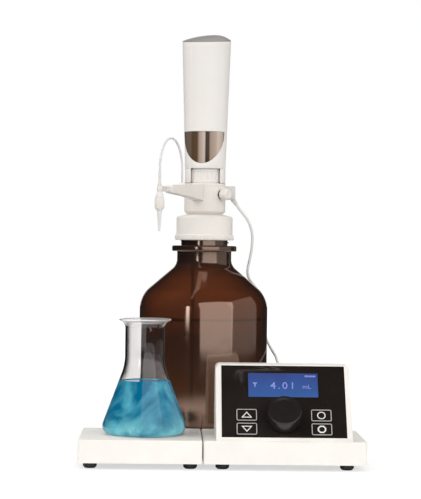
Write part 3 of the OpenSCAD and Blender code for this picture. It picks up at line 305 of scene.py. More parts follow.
def amber_glass():
    """Brown bottle glass: redder on the shoulder, darker below and edge on, as painted light and shade of
    light through the glass, with the mould's seams.
    """
    finish = Finish("amber_glass", (0.1, 0.03, 0.014), 0.1, Transmission_Weight=0.2, IOR=2.6,
                    Specular_Tint=(1.0, 0.72, 0.58, 1))
    # Painted light and shade down the bottle: a lighter foot, a dark middle, a painted reddish glow of
    # light through the shoulder, and a dark neck
    foot, side, shoulder = (0.09, 0.027, 0.007), (0.042, 0.015, 0.008), (0.125, 0.03, 0.009)
    neck, thick, seam_brown = (0.016, 0.008, 0.006), (0.012, 0.006, 0.004), (0.02, 0.009, 0.005)
    height = finish.height()
    shown = finish.mix(finish.span(height, 62, 100), foot, side)
    shown = finish.mix(finish.span(height, 125, 172), shown, shoulder)
    shown = finish.mix(finish.span(height, 188, 206), shown, neck)
    cloud = finish.noise(11, 3, (1, 1, 0.4))
    shown = finish.mix(finish.span(cloud, 0.4, 0.72, 0.0, 0.6), shown, (0.07, 0.024, 0.012))
    # Painted shade where the glass is seen edge on, in the dark brown that also draws the belt seam
    shown = finish.mix(finish.span(finish.edge_on(), 0.3, 0.72, 0.0, 0.85), shown, thick)
    belt = abs(height - 144.5)
    seam = abs(finish.along((1, 0, 0), (BOTTLE_X - 13, 0, 0)))
    shown = finish.mix(finish.span(belt, 0.4, 2.2, 1.0, 0.0), shown, thick)
    shown = finish.mix(finish.span(seam, 0.5, 3.0, 0.75, 0.0), shown, seam_brown)
    finish.colour(shown)
    wavy = finish.span(finish.noise(70, 3), 0.5, 0.8, 0.08, 0.13)
    finish.rough(wavy + finish.span(height, 190, 205, 0.0, 0.06))
    return finish.bump(finish.noise(22, 2, (1, 1, 0.25)), 0.5, 0.3)


def blue_liquid():
    """Dyed liquid on the stirrer, with a painted glow: light swirls painted over the dye, lighter still
    near the bottom as painted light, and deep at its edges as painted shade.
    """
    finish = Finish("blue_liquid", (0.03, 0.45, 0.72), 0.08, Transmission_Weight=0.12, IOR=1.33,
                    Specular_IOR_Level=0.15, Emission_Strength=0.5)
    # The dye's tone in swirls, whose light streaks are painted light of the stirred liquid
    swirl = finish.noise(24, 4, (1, 1, 0.55), 1.8)
    shown = finish.mix(finish.span(swirl, 0.36, 0.66), (0.0, 0.17, 0.33), (0.13, 0.55, 0.69))
    # Painted light: pale cyan in places near the bottom, where light gathers in the liquid
    painted_light_patches = finish.span(finish.noise(40, 3, (1, 1, 0.5), 1.0), 0.4, 0.6)
    painted_light_near_foot = finish.span(finish.height(), 36, 52, 0.8, 0.0)
    shown = finish.mix(painted_light_near_foot * painted_light_patches, shown, (0.27, 0.76, 0.8))
    # Painted shade: deep blue where the liquid is seen edge on
    shown = finish.mix(finish.span(finish.edge_on(), 0.4, 0.8, 0.0, 0.85), shown, (0.0, 0.14, 0.3))
    finish.colour(shown)
    # A painted glow: the liquid shines in its own colour though it is no lamp
    finish.glow(shown)
    return finish.bump(swirl, 0.4, 0.2)


def lit_display():
    """Backlit liquid crystal: brighter towards its lower edge, in fine rows of dots."""
    finish = Finish("lit_display", (0.01, 0.02, 0.06), 0.2, Emission_Strength=1.0)
    up = finish.along((0, math.sin(PANEL_LEAN), math.cos(PANEL_LEAN)), PANEL_ORIGIN)
    shown = finish.mix(finish.span(up, DISPLAY_LOW, DISPLAY_LOW + DISPLAY_H),
                       (0.028, 0.092, 0.275), (0.029, 0.041, 0.168))
    cloud = finish.noise(45, 2)
    finish.glow(finish.mix(finish.span(cloud, 0.35, 0.7, 0.0, 0.35), shown, (0.038, 0.09, 0.3)))
    dots = finish.node("TexBrick", {"offset": 0.0},
                       {"Vector": finish.here(), "Scale": 900.0, "Mortar Size": 0.06}, out="Fac")
    return finish.bump(dots, 0.01, 0.3)


def printed(name, colour, lit=0.0):
    """Screen-printed ink, a little thin in places, or the lit marks of the display."""
    finish = Finish(name, colour, 0.4, Emission_Strength=lit)
    wear = finish.span(finish.noise(700, 3), 0.3, 0.7)
    shown = finish.mix(wear, colour, tuple(c * 0.86 for c in colour))
    finish.colour(shown)
    if lit:
        finish.glow(shown)
    return finish.bump(wear, 0.01, 0.3)


def smoked_window():
    """Tinted acrylic, painted in upright stripes of light and dark: painted reflections, and the glass
    cylinder behind it painted on.
    """
    finish = Finish("smoked_window", (0.3, 0.22, 0.17), 0.12, Specular_IOR_Level=0.2)
    # Painted reflections: stripes of light and dark across the window, with the glass cylinder behind it
    # painted on
    across = finish.span(finish.along((1, 0, 0), (BOTTLE_X, 0, 0)), -22.5, 22.5)
    stops = [
        (0.0, (0.14, 0.1, 0.08)), (0.13, (0.12, 0.09, 0.06)), (0.18, (0.06, 0.033, 0.015)),
        (0.29, (0.08, 0.045, 0.02)), (0.34, (0.4, 0.3, 0.25)), (0.47, (0.62, 0.52, 0.45)),
        (0.495, (0.02, 0.012, 0.007)), (0.575, (0.025, 0.014, 0.008)), (0.6, (0.34, 0.25, 0.2)),
        (0.75, (0.5, 0.4, 0.33)), (0.79, (0.66, 0.56, 0.48)), (0.9, (0.55, 0.45, 0.38)),
        (0.96, (0.1, 0.07, 0.05))]
    painted_reflection_bands = finish.node("ValToRGB", {"stops": stops}, {"Fac": across})
    veil = finish.noise(30, 3, (1, 1, 0.12))
    finish.colour(finish.mix(finish.span(veil, 0.35, 0.7, 0.0, 0.25), painted_reflection_bands, (0.2, 0.14, 0.1)))
    finish.rough(finish.span(finish.noise(120, 2, (1, 1, 0.1)), 0.3, 0.7, 0.08, 0.2))
    return finish.bump(veil, 0.05, 0.3)


def circuit_green():
    """Lacquered circuit board, with a net of lighter tracks."""
    lacquer = (0.02, 0.13, 0.05)
    finish = Finish("circuit_green", lacquer, 0.35)
    tracks = finish.node("TexBrick", {"offset": 0.3},
                         {"Vector": finish.here(), "Scale": 260.0, "Mortar Size": 0.04}, out="Fac")
    finish.colour(finish.mix(tracks, lacquer, (0.05, 0.24, 0.1)))
    return finish.bump(tracks, 0.03, 0.4)


def soft_clear(name, colour, through, ior):
    """Milky clear plastic of the dosing tube and tip, unevenly glossy."""
    finish = Finish(name, colour, 0.2, Transmission_Weight=through, IOR=ior)
    finish.rough(finish.span(finish.noise(500, 2), 0.3, 0.7, 0.1, 0.25))
    return finish.bump(finish.noise(420, 2), 0.004, 0.2)


FINISHES = {
    "white_plastic": moulded("white_plastic", (0.785, 0.757, 0.715), 0.36, 0.012),
    "head_plastic": moulded("head_plastic", (0.85, 0.815, 0.78), 0.37, 0.006, 2400, 0.97),
    "white_fittings": moulded("white_fittings", (0.8, 0.76, 0.71), 0.36, 0.008),
    "cream_plastic": moulded("cream_plastic", (0.8, 0.77, 0.71), 0.4, 0.01),
    "grey_plastic": moulded("grey_plastic", (0.52, 0.52, 0.51), 0.45, 0.02),
    "connector_grey": moulded("connector_grey", (0.66, 0.65, 0.63), 0.42, 0.015),
    "cap_grey": moulded("cap_grey", (0.33, 0.31, 0.3), 0.42, 0.03, 1500, 0.9),
    "sleeve_grey": moulded("sleeve_grey", (0.72, 0.69, 0.68), 0.5, 0.01),
    "cable_grey": moulded("cable_grey", (0.78, 0.775, 0.76), 0.42, 0.01, 1400),
    "black_rubber": moulded("black_rubber", (0.016, 0.016, 0.017), 0.62, 0.05, 900, 1.35),
    "black_plastic": moulded("black_plastic", (0.02, 0.019, 0.019), 0.36, 0.01, 2000, 1.4),
    "knob_black": moulded("knob_black", (0.013, 0.01, 0.0095), 0.2, 0.006, 2400, 1.3),
    "ptfe": moulded("ptfe", (0.82, 0.82, 0.8), 0.5, 0.01, 1500, 0.96, Subsurface_Weight=0.1,
                    Subsurface_Scale=0.002),
    "clear_tip": soft_clear("clear_tip", (0.88, 0.85, 0.84), 0.15, 1.45),
    "tube_clear": soft_clear("tube_clear", (0.74, 0.72, 0.71), 0.05, 1.38),
    "panel_black": moulded("panel_black", (0.016, 0.0115, 0.01), 0.19, 0.001, 2600, 0.7),
    "lit_display": lit_display(),
    "key_print": printed("key_print", (0.42, 0.4, 0.38)),
    "key_symbol": printed("key_symbol", (0.72, 0.71, 0.69)),
    "display_marks": printed("display_marks", (0.15, 0.18, 0.45), 0.6),
    "clear_glass": clear_glass(),
    "amber_glass": amber_glass(),
    "blue_liquid": blue_liquid(),
    "smoked_window": smoked_window(),
    "steel": metal("steel", (0.62, 0.62, 0.63), 0.3),
    "aluminium": metal("aluminium", (0.72, 0.72, 0.73), 0.34),
    "bronze": metal("bronze", (0.62, 0.42, 0.19), 0.32),
    "magnet": metal("magnet", (0.5, 0.5, 0.51), 0.22),
    "circuit_green": circuit_green(),
}

# The slots whose finish has another name
SLOT_FINISH = {
    "display": "lit_display", "board": "circuit_green", "cable": "cable_grey",
    "dosing_tube": "tube_clear", "black_panel": "panel_black",
}


# ---- shaping ----

def fillet(bm, vert, radius, segments):
    """Rounds one corner of a line with a true radius."""
    first, second = (edge.other_vert(vert).co - vert.co for edge in vert.link_edges)
    offset = radius * math.tan((math.pi - first.angle(second)) / 2)
    bmesh.ops.bevel(bm, geom=[vert], offset=offset, offset_type="OFFSET", segments=segments,
                    profile=0.5, affect="VERTICES", material=-1)


def line(points, closed=False, segments=8):
    """A line in the XZ plane through (radius, height) or (radius, height, fillet) points."""
    bm = bmesh.new()
    verts = [bm.verts.new((p[0], 0, p[1])) for p in points]
    for pair in zip(verts, verts[1:] + verts[:1] if closed else verts[1:]):
        bm.edges.new(pair)
    for vert, point in zip(verts, points):
        if len(point) > 2:
            fillet(bm, vert, point[2], segments)
    return bm


def clean(bm):
    """Merges doubled points and turns the faces outwards."""
    bmesh.ops.remove_doubles(bm, verts=bm.verts, dist=MERGE_GAP)
    bmesh.ops.recalc_face_normals(bm, faces=bm.faces)
    return bm


def turned(points, closed=False, sides=96, segments=8):
    """Spins a line round Z."""
    bm = line(points, closed, segments)
    bmesh.ops.spin(bm, geom=bm.verts[:] + bm.edges[:], cent=(0, 0, 0), axis=(0, 0, 1), angle=math.tau,
                   steps=sides, use_merge=True)
    return clean(bm)


def block(width, depth, height, edge=0.0, segments=3, base=0.0):
    """A box on the height base, with all its edges rounded."""
    bm = bmesh.new()
    bmesh.ops.create_cube(bm, size=1)
    bmesh.ops.scale(bm, vec=(width, depth, height), verts=bm.verts)
    bmesh.ops.translate(bm, vec=(0, 0, base + height / 2), verts=bm.verts)
    if edge:
        bmesh.ops.bevel(bm, geom=bm.edges, offset=edge, segments=segments, profile=0.5, affect="EDGES",
                        material=-1)
    return clean(bm)


def add(bm, other, place=Matrix()):
    """Joins another shape to this one."""
    bmesh.ops.transform(other, matrix=place, verts=other.verts)
    mesh = bpy.data.meshes.new("part")
    other.to_mesh(mesh)
    other.free()
    bm.from_mesh(mesh)
    bpy.data.meshes.remove(mesh)


def ribs(bm, count, radius, shape):
    """Adds shapes at even steps on a circle round Z."""
    for k in range(count):
        add(bm, shape(), turn("Z", k * 360 / count) @ at(radius))


def flat_panel(corners, rounding=0.0):
    """A flat face through (x, y) corners, rounded in plan."""
    bm = bmesh.new()
    verts = [bm.verts.new((x, y, 0)) for x, y in corners]
    bm.faces.new(verts)
    if rounding:
        bmesh.ops.bevel(bm, geom=verts, offset=rounding, offset_type="OFFSET", segments=6,
                        profile=0.5, affect="VERTICES", material=-1)
    return bm


def raised(bm, thickness):
    """Gives flat faces a thickness upwards."""
    grown = bmesh.ops.extrude_face_region(bm, geom=bm.faces[:])
    top = [v for v in grown["geom"] if isinstance(v, bmesh.types.BMVert)]
    bmesh.ops.translate(bm, vec=(0, 0, thickness), verts=top)
    return clean(bm)


def outline_of(bm, width, thickness):
    """Keeps only a line of a given width round the rim of a flat face."""
    inner = bm.faces[:]
    bmesh.ops.inset_region(bm, faces=inner, thickness=width, use_even_offset=True, use_boundary=True)
    bmesh.ops.delete(bm, geom=inner, context="FACES")
    return raised(bm, thickness)


def flat_shape(sides, radius, turned_by=0.0, across=1.0):
    """A flat polygon about the origin, drawn out sideways."""
    bm = bmesh.new()
    bmesh.ops.create_circle(bm, cap_ends=True, segments=sides, radius=radius)
    bmesh.ops.rotate(bm, cent=(0, 0, 0), matrix=turn("Z", turned_by).to_3x3(), verts=bm.verts)
    bmesh.ops.scale(bm, vec=(across, 1, 1), verts=bm.verts)
    return bm


def piece(name, bm, body, finish, replaces=(), place=Matrix(), sharp=32.0):
    """Finishes a shape as an object: placed, in metres, smooth, and riding on its body."""
    bmesh.ops.transform(bm, matrix=Matrix.Scale(MM, 4) @ place, verts=bm.verts)
    mesh = bpy.data.meshes.new(name)
    bm.to_mesh(mesh)
    bm.free()
    return dress(name, mesh, body, finish, replaces, sharp)


def dress(name, data, body, finish, replaces=(), sharp=32.0):
    """Makes an object of a mesh or curve, with its finish and body, and hides the nodes it stands for."""
    data.materials.clear()
    data.materials.append(FINISHES[finish].material)
    if isinstance(data, bpy.types.Mesh):
        data.shade_smooth()
        data.set_sharp_from_angle(angle=math.radians(sharp))
    obj = bpy.data.objects.new(name, data)
    bpy.context.scene.collection.objects.link(obj)
    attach(obj, body)
    if replaces:
        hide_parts(*replaces)
    return obj


def refined(name, node, finish, rounding=0.0, segments=2, flat=1.0):
    """A fixed CAD node's own shape, with the edges that are sharper than 35 degrees rounded."""
    bm = bmesh.new()
    bm.from_mesh(frame["nodes"][node].data)
    bmesh.ops.transform(bm, matrix=Matrix.Scale(1 / MM, 4), verts=bm.verts)
    bmesh.ops.remove_doubles(bm, verts=bm.verts, dist=0.02)
    if rounding:
        bmesh.ops.dissolve_limit(bm, angle_limit=math.radians(flat), verts=bm.verts, edges=bm.edges)
        least = math.radians(35)
        sharp = [e for e in bm.edges if len(e.link_faces) == 2 and e.calc_face_angle() > least]
        bmesh.ops.bevel(bm, geom=sharp, offset=rounding, segments=segments, profile=0.5,
                        affect="EDGES", clamp_overlap=True, material=-1)
    piece(name, bm, "stand", finish, (node,))


def out_of_reflections(*objects):
    """Keeps pieces from mirroring in what stands beside them."""
    for obj in objects:
        obj.visible_glossy = False


# ---- head cable ----

def smooth_points(points):
    """Points of the smooth curve through a route, in metres."""
    route = [Vector(p) for p in points]
    last = len(route) - 1
    steps = 6
    found = []
    for i in range(last):
        a, b, c, d = (route[min(max(i + k, 0), last)] for k in (-1, 0, 1, 2))
        for s in range(steps):
            t = s / steps
            found.append(0.5 * (2 * b + (c - a) * t + (2 * a - 5 * b + 4 * c - d) * t ** 2
                                + (3 * b - a - 3 * c + d) * t ** 3) * MM)
    return found + [route[last] * MM]


def cable_route():
    """The cable's way in three stretches, each measured from what it lies by."""
    # From the connector, x, y and z off the bottle's axis at the connector's height
    drop = [(35, 1.2, -5.3), (37, 1.7, -8.05), (39, 2.2, -10.8), (44, 3.2, -16.8), (48.5, 4.2, -23.3),
            (52, 5.7, -31.8), (53.5, 7.2, -41.3), (53, 8.7, -53.3), (51, 10.2, -65.3), (49, 11.7, -76.3)]
    # Over the shoulder and down the side: direction x, y, then how far out and up
    lie = [(49, 13.2, -19.2, 35), (52.5, 16.2, -15, 29), (57.5, 20.7, -8.9, 23), (63, 26.2, -1.8, 15.5),
           (66.5, 30.7, 3.2, 6), (67.5, 33.2, 5.2, -5), (67.5, 33.2, 5.2, -16), (68.5, 31.2, 5.3, -26.5),
           (71, 25.7, 5.5, -35.5), (74, 17.2, 6, -42.5), (77, 6.2, 7.2, -48), (79.5, -5.8, 9.7, -52.5),
           (81, -16.8, 12.7, -57.5)]
    # Into the socket at the back of the control unit
    run = [(0, 74.2, 41.5), (0, 65.2, 32.5), (0, 57.2, 22), (0, 49.7, 12), (0, 41.2, 4.5), (0, 32.2, 1),
           (0, 26.2, 0), (0, 22.2, 0), (0, 18.2, 0)]
    shoulder_z = 156.0
    route = [(BOTTLE_X + x, BOTTLE_Y + y, CONNECTOR_Z + z) for x, y, z in drop]
    for x, y, out, z in lie:
        reach = (BOTTLE_R + out) / math.hypot(x, y)
        route.append((BOTTLE_X + reach * x, BOTTLE_Y + reach * y, shoulder_z + z))
    return route + [(SOCKET_X + x, REAR_Y + y, PLUG_Z + z) for x, y, z in run]


def make_cable():
    """The head cable, and the ribbed plug at its lower end."""
    points = smooth_points(cable_route())
    data = bpy.data.curves.new("cable_sheath", "CURVE")
    data.dimensions = "3D"
    data.bevel_depth = CABLE_R * MM
    data.bevel_resolution = 5
    data.use_fill_caps = True
    spline = data.splines.new("POLY")
    spline.points.add(len(points) - 1)
    for point, co in zip(spline.points, points):
        point.co = (*co, 1)
    spline.use_smooth = True
    cable = dress("cable_sheath", data, "stand", "cable_grey", ("head_cable",))
    plug = turned([(0, 0), (5, 0), (5, 15.2, 0.8), (4.2, 16, 0.6), (2.6, 16), (2.5, 16.6), (2.6, 17.1),
                   (2.1, 17.4), (2.2, 18.2), (0, 18.2)], sides=48, segments=3)
    ribs(plug, 18, 5, lambda: block(0.5, 0.9, 9, 0.2, 2, 4))
    add(plug, turned([(0, -6), (1.95, -6, 0.3), (1.95, 0.2), (0, 0.2)], sides=32, segments=2))
    plug_piece = piece("cable_end_plug", plug, "stand", "black_plastic",
                       ("cable_plug",), at(SOCKET_X, REAR_Y, PLUG_Z) @ turn("X", -90))
    length = sum((b - a).length for a, b in zip(points, points[1:]))


# ---- bases and feet ----

def base_cover(name, node, centre_x, width, left_r, right_r):
    """A base's moulded cover: open below, rounded upright corners and a softer upper rim."""
    bm = bmesh.new()
    height = BASE_TOP - BASE_BOTTOM
    rim_r, wall = 1.6, 2.5
    bmesh.ops.create_cube(bm, size=1)
    bmesh.ops.scale(bm, vec=(width, BASE_D, height), verts=bm.verts)
    for side, radius in ((-1, left_r), (1, right_r)):
        upright = [e for e in bm.edges if abs(e.verts[0].co.z - e.verts[1].co.z) > height / 2
                   and e.verts[0].co.x * side > width / 2 - 0.1]
        bmesh.ops.bevel(bm, geom=upright, offset=radius, segments=8, profile=0.5, affect="EDGES",
                        material=-1)
    low = [f for f in bm.faces if f.normal.z < -0.9]
    bmesh.ops.delete(bm, geom=low, context="FACES")
    rim = [e for e in bm.edges if len(e.link_faces) == 2
           and min(v.co.z for v in e.verts) > height / 2 - 0.01]
    bmesh.ops.bevel(bm, geom=rim, offset=rim_r, segments=5, profile=0.5, affect="EDGES", material=-1)
    clean(bm)
    bmesh.ops.solidify(bm, geom=bm.faces[:], thickness=wall)
    piece(name, bm, "stand", "white_plastic", (node,),
          at(centre_x, BASE_Y, (BASE_TOP + BASE_BOTTOM) / 2), sharp=40)


def feet(name, node, centre_x, width, from_end):
    """Four rubber feet, each with a stem up into the base."""
    from_edge = 15
    bm = bmesh.new()
    for x in (-1, 1):
        for y in (-1, 1):
            foot = turned([(0, 0), (5, 0, 0.5), (7, 1.9, 1.2), (7, 5.2, 0.4), (6.4, 6), (2.95, 6),
                           (2.95, 9), (0, 9)], sides=48, segments=4)
            add(bm, foot, at(x * (width / 2 - from_end), y * (BASE_D / 2 - from_edge)))
    piece(name, bm, "stand", "black_rubber", (node,), at(centre_x, BASE_Y))


def make_bases():
    """The stirrer's base on the left, and the control unit's on the right."""
    base_cover("stirrer_cover", "stirrer_housing", STIRRER_X, STIRRER_W, 3.0, 3.0)
    base_cover("control_base_cover", "base_housing", CONTROL_X, CONTROL_W, 3.0, 7.5)
    feet("stirrer_pads", "stirrer_feet", STIRRER_X, STIRRER_W, 12.0)
    feet("control_pads", "base_feet", CONTROL_X, CONTROL_W, 19.5)


# ---- flask and bottle ----

def make_flask():
    """The conical flask, and the liquid in it, with its edge drawn up the glass."""
    lean = math.radians(20.2)
    slope = math.tan(lean)
    wall, bottom = 2.0, BASE_TOP + 2.5
    foot_r = 46.9013
    inner_foot_r = foot_r - wall / math.cos(lean)
    inner_r = inner_foot_r - (bottom - BASE_TOP) * slope
    glass = turned([
        (0, BASE_TOP + 0.8), (30, BASE_TOP + 0.8, 2), (33, BASE_TOP, 2), (foot_r, BASE_TOP, 9),
        (20.4, 101.53, 45), (20.4, 144.14, 8), (25.3, 146.45), (27.0, 147.2, 0.7),
        (26.6, 148.9, 0.8), (24.2, 148.1, 0.6), (18.4, 145.5, 9), (18.4, 101.17, 47),
        (inner_r, bottom, 7), (0, bottom)], sides=128, segments=10)
    flask = piece("flask_glass", glass, "stand", "clear_glass", ("flask",),
                  at(FLASK_X, BASE_Y), 50)
    # The liquid reaches a hair into the glass, so that no film of air shows between them
    level, into_glass = 83.9, 0.12
    surface_r = inner_foot_r - (level - BASE_TOP) * slope + into_glass
    liquid = turned([
        (0, bottom - into_glass), (inner_r + into_glass, bottom - into_glass, 7),
        (surface_r, level + 1.2), (surface_r - 0.5, level + 0.9, 0.4), (surface_r - 1.8, level, 1.5),
        (0, level)], sides=96, segments=6)
    filling = piece("flask_liquid", liquid, "stand", "blue_liquid", (),
                    at(FLASK_X, BASE_Y), 50)
    out_of_reflections(flask, filling, frame["nodes"]["stir_bar"])


def make_bottle():
    """The reagent bottle: pushed-up bottom, round shoulder, ring round the neck, screw thread."""
    thread_z = MOUTH_Z - 25.6
    ring_z = thread_z - 6.1
    neck_r, mouth_r, bore_r, wall = 30, 25.7, 21, 3.5
    # Corners where the straight lines of the shoulder would meet the side and the neck
    side_corner = 156 + 28 * math.tan(math.radians(25))
    neck_corner = side_corner + (BOTTLE_R - neck_r) * math.tan(math.radians(40))
    inner_corner = side_corner - wall * math.tan(math.radians(25)) * 0.98
    inner_r, inner_neck_r = BOTTLE_R - wall, neck_r - wall
    glass = turned([
        (0, 2.4), (40, 2.4, 6), (52, 0, 6), (BOTTLE_R, 0, 8), (BOTTLE_R, side_corner, 28),
        (neck_r, neck_corner, 12), (neck_r, ring_z, 0.8), (35.7, ring_z, 1.5), (35.7, thread_z, 1.5),
        (mouth_r, thread_z, 0.6), (mouth_r, MOUTH_Z, 1), (bore_r, MOUTH_Z, 0.8),
        (bore_r, thread_z + 2, 2), (inner_neck_r, ring_z - 2, 3), (inner_neck_r, neck_corner - 1.5, 15),
        (inner_r, inner_corner, 24), (inner_r, 4.5, 5), (0, 4.5)], sides=144, segments=9)
    turns, steps, climb = 2.6, 170, 15
    thread = line([(25.3, 0), (27.2, 0.9, 0.5), (27.2, 1.7, 0.5), (25.3, 2.6)], closed=True, segments=3)
    bmesh.ops.spin(thread, geom=thread.verts[:] + thread.edges[:], cent=(0, 0, 0), axis=(0, 0, 1),
                   angle=math.tau * turns, steps=steps, dvec=(0, 0, climb / steps))
    bmesh.ops.holes_fill(thread, edges=[e for e in thread.edges if e.is_boundary])
    clean(thread)
    add(glass, thread, at(z=thread_z + 2.2))
    piece("bottle_glass", glass, "stand", "amber_glass", ("reagent_bottle",), ON_BOTTLE, 50)


# ---- dosing head ----

def make_collar():
    """The screw cap on the bottle's mouth, ribbed round its lower edge."""
    top, low = COLLAR_TOP, COLLAR_Z
    bm = turned([
        (26.1, low), (31.6, low, 0.3), (32.1, low + 1, 0.4), (32.1, low + 5.5, 0.5), (31, low + 6.5, 0.4),
        (31, top - 1.5, 1.2), (29.6, top, 0.4), (21.2, top + 2.1, 0.3), (17.2, top + 2.1), (17.2, top - 3),
        (26.1, top - 3)], closed=True, sides=128, segments=3)
    ribs(bm, 60, 31.9, lambda: block(1.3, 1.2, 4.6, 0.45, 2, low + 0.7))
    piece("collar_cap", bm, "stand", "white_fittings", ("screw_collar",), ON_BOTTLE)


def make_valve_block():
    """The round block on the collar, with its chamfered foot and a groove below its top."""
    bm = turned([
        (0, 250.5), (14.5, 250.5), (14.5, 251.4), (24.7, 251.4), (24.7, 253.3), (17, 253.3), (17, BLOCK_Z),
        (BLOCK_R - 3.5, BLOCK_Z, 0.5), (BLOCK_R, BLOCK_Z + 3.5, 0.8), (BLOCK_R, BLOCK_TOP - 4.2, 0.3),
        (BLOCK_R - 0.35, BLOCK_TOP - 3.9, 0.2), (BLOCK_R - 0.35, BLOCK_TOP - 3.3, 0.2),
        (BLOCK_R, BLOCK_TOP - 3, 0.3), (BLOCK_R, BLOCK_TOP, 0.9), (0, BLOCK_TOP)], sides=128, segments=4)
    piece("valve_block_body", bm, "stand", "white_fittings", ("valve_block",), ON_BOTTLE)


def make_coupling_ring():
    """The ribbed ring between the block and the casing."""
    low, high = RING_Z, CASING_Z
    bm = turned([
        (14.25, low), (18.2, low, 0.3), (18.4, low + 1.2, 0.2), (19, low + 1.3, 0.3), (19, low + 2.8, 0.3),
        (18.2, low + 3, 0.2), (18.2, high - 3.2, 0.2), (19, high - 3, 0.3), (19, high - 1.4, 0.3),
        (18.3, high - 1.2, 0.2), (18.3, high - 0.2), (14.25, high - 0.2)], closed=True, sides=108,
        segments=3)
    ribs(bm, 36, 18.25, lambda: block(1.3, 1.5, high - low - 6.4, 0.55, 2, low + 3))
    piece("coupling_ring_ribbed", bm, "stand", "head_plastic", ("coupling_ring",), IN_HEAD)


def make_casing():
    """The casing's two shells, its window and its lid. The shells keep their finest facets."""
    refined("casing_front", "front_shell", "head_plastic", 0.35, flat=0.15)
    refined("casing_rear", "rear_shell", "head_plastic", 0.35, flat=0.15)
    refined("window_pane", "inspection_window", "smoked_window", 0.25)
    refined("casing_lid", "top_cap", "cap_grey")


def make_arm():
    """The dosing arm, the arched tube, and the sleeve, clip, nut and nozzle at the arm's tip."""
    refined("arm_beam", "dosing_arm", "white_fittings", 1.2, 4)
    refined("arm_tube", "dosing_tube", "tube_clear")
    base = ARM_TIP_TOP
    sleeve = turned([
        (1.2, base - 0.4), (2.2, base - 0.4, 0.3), (2.2, base + 2, 0.4), (1.5, base + 2.4, 0.3),
        (1.45, base + 14.6, 0.3), (1.2, base + 15)], closed=True, sides=40, segments=3)
    piece("tip_sleeve_grey", sleeve, "stand", "sleeve_grey", ("tip_sleeve",), AT_TIP)
    top = base - ARM_TIP_H
    high = top - CLIP_H
    clip = turned([
        (1.2, top), (2.6, top, 0.4), (3.2, top - 2, 0.6), (4.4, high + 1.2, 0.5), (4.4, high),
        (1.2, high)], closed=True, sides=48, segments=3)
    piece("tip_clip_clear", clip, "stand", "clear_tip", ("tip_clip",), AT_TIP)
    low = high - TIP_NUT_H
    nut = turned([
        (1.25, high), (4.2, high, 0.3), (4.95, high - 0.8, 0.4), (4.95, low + 1.8, 0.5), (3.9, low, 0.3),
        (1.25, low)], closed=True, sides=64, segments=3)
    ribs(nut, 20, 4.85, lambda: block(0.55, 0.7, 8, 0.22, 2, low + 2.4))
    tip = turned([
        (0.5, low + 2), (3.1, low + 2), (3.1, low - 0.6, 0.4), (2.5, low - 2, 0.8), (1.1, low - 22.2, 0.3),
        (0.5, low - 22.5)], closed=True, sides=40, segments=3)
    piece("tip_nozzle", tip, "stand", "clear_tip", (), AT_TIP)
    piece("tip_nut_ribbed", nut, "stand", "white_fittings", ("tip_nut",), AT_TIP)


def make_valve():
    """The valve's short grip, with a dark gap between it and the block."""
    root = BLOCK_R + 1.5
    knob = turned([
        (0, root), (5.3, root, 0.4), (5.9, root + 0.8, 0.4), (5.9, root + 8, 0.9),
        (4.7, root + 9.6, 0.6), (2.4, root + 9.2, 0.8), (0, root + 9.2)], sides=72, segments=4)
    ribs(knob, 12, 5.8, lambda: block(0.9, 1.3, 6.4, 0.4, 2, root + 1.4))
    piece("valve_handle", knob, "valve", "cream_plastic", ("valve_knob",), ON_VALVE)


def make_connector():
    """The cable's connector on the block: grip lines, neck, and a gland along the cable."""
    bm = block(12.6, 12, 15, 1.3, 4)
    for k in range(5):
        add(bm, block(0.5, 12.3, 0.7, 0.2, 2), at(-2 + k * 1.6, 0, 11))
    add(bm, block(6, 11, 13.6, 0.8, 3), at(-7.4, 0, 0.7))
    bmesh.ops.transform(bm, matrix=at(BOTTLE_X + 27.2, BOTTLE_Y, CONNECTOR_Z), verts=bm.verts)
    gland = turned([
        (0, -0.2), (1.9, 0, 0.2), (2.1, 2, 0.3), (1.95, 2.6, 0.2), (2.3, 3.2, 0.2), (2.15, 3.9, 0.2),
        (2.5, 4.6, 0.2), (2.5, 7.5), (0, 7.5)], sides=32, segments=3)
    leaves, onward = (Vector(p) for p in cable_route()[:2])
    aim = (leaves - onward).to_track_quat("Z", "X").to_matrix().to_4x4()
    add(bm, gland, at(*leaves) @ aim)
    piece("connector_body", bm, "stand", "connector_grey", ("cable_connector",))


# ---- control unit ----

def make_control_unit():
    """The wedge case, its black front panel, and the display let into the panel."""
    refined("control_shell", "control_case", "white_plastic", 0.6, 3)
    refined("panel_face", "front_panel", "panel_black", 0.25)
    screen = block(71.1, DISPLAY_H - 0.4, 2.3, 0.15, 2, -2.5)
    piece("display_screen", screen, "stand", "lit_display", ("display_window",),
          on_panel(0, DISPLAY_LOW + DISPLAY_H / 2))


def make_knob():
    """The control knob: a skirt, a tapered grip and a dished top."""
    bm = turned([
        (0, 0.4), (17.9, 0.4, 0.3), (18.25, 0.9, 0.3), (18.25, 1.9, 0.3), (16.9, 13, 0.8),
        (16.3, 14.6, 0.7), (14.9, 14.9, 0.6), (12, 14.1, 4), (6, 13.75, 4), (0, 13.7)],
        sides=128, segments=5)
    piece("knob_grip", bm, "knob", "knob_black", ("control_knob",),
          on_panel(0, KNOB_UP))


def display_mark(name, bm, across, up, sunk=0.19):
    """A lit mark that stands a hair proud of the screen."""
    piece(name, bm, "stand", "display_marks", (), on_panel(across, up, -sunk))


def letters(name, words, size, across, up, bold=0.0, spacing=1.0):
    """Characters on the screen, as a thin mesh."""
    data = bpy.data.curves.new(name, "FONT")
    data.body = words
    data.size = size * MM
    data.extrude = 0.03 * MM
    data.offset = bold * MM
    data.space_character = spacing
    data.align_x = "LEFT"
    flat = bpy.data.objects.new(name, data)
    bpy.context.scene.collection.objects.link(flat)
    bpy.context.view_layer.update()
    mesh = bpy.data.meshes.new_from_object(flat)
    bpy.data.objects.remove(flat)
    bm = bmesh.new()
    bm.from_mesh(mesh)
    bmesh.ops.transform(bm, matrix=Matrix.Scale(1 / MM, 4), verts=bm.verts)
    display_mark(name, clean(bm), across, up, sunk=0.16)


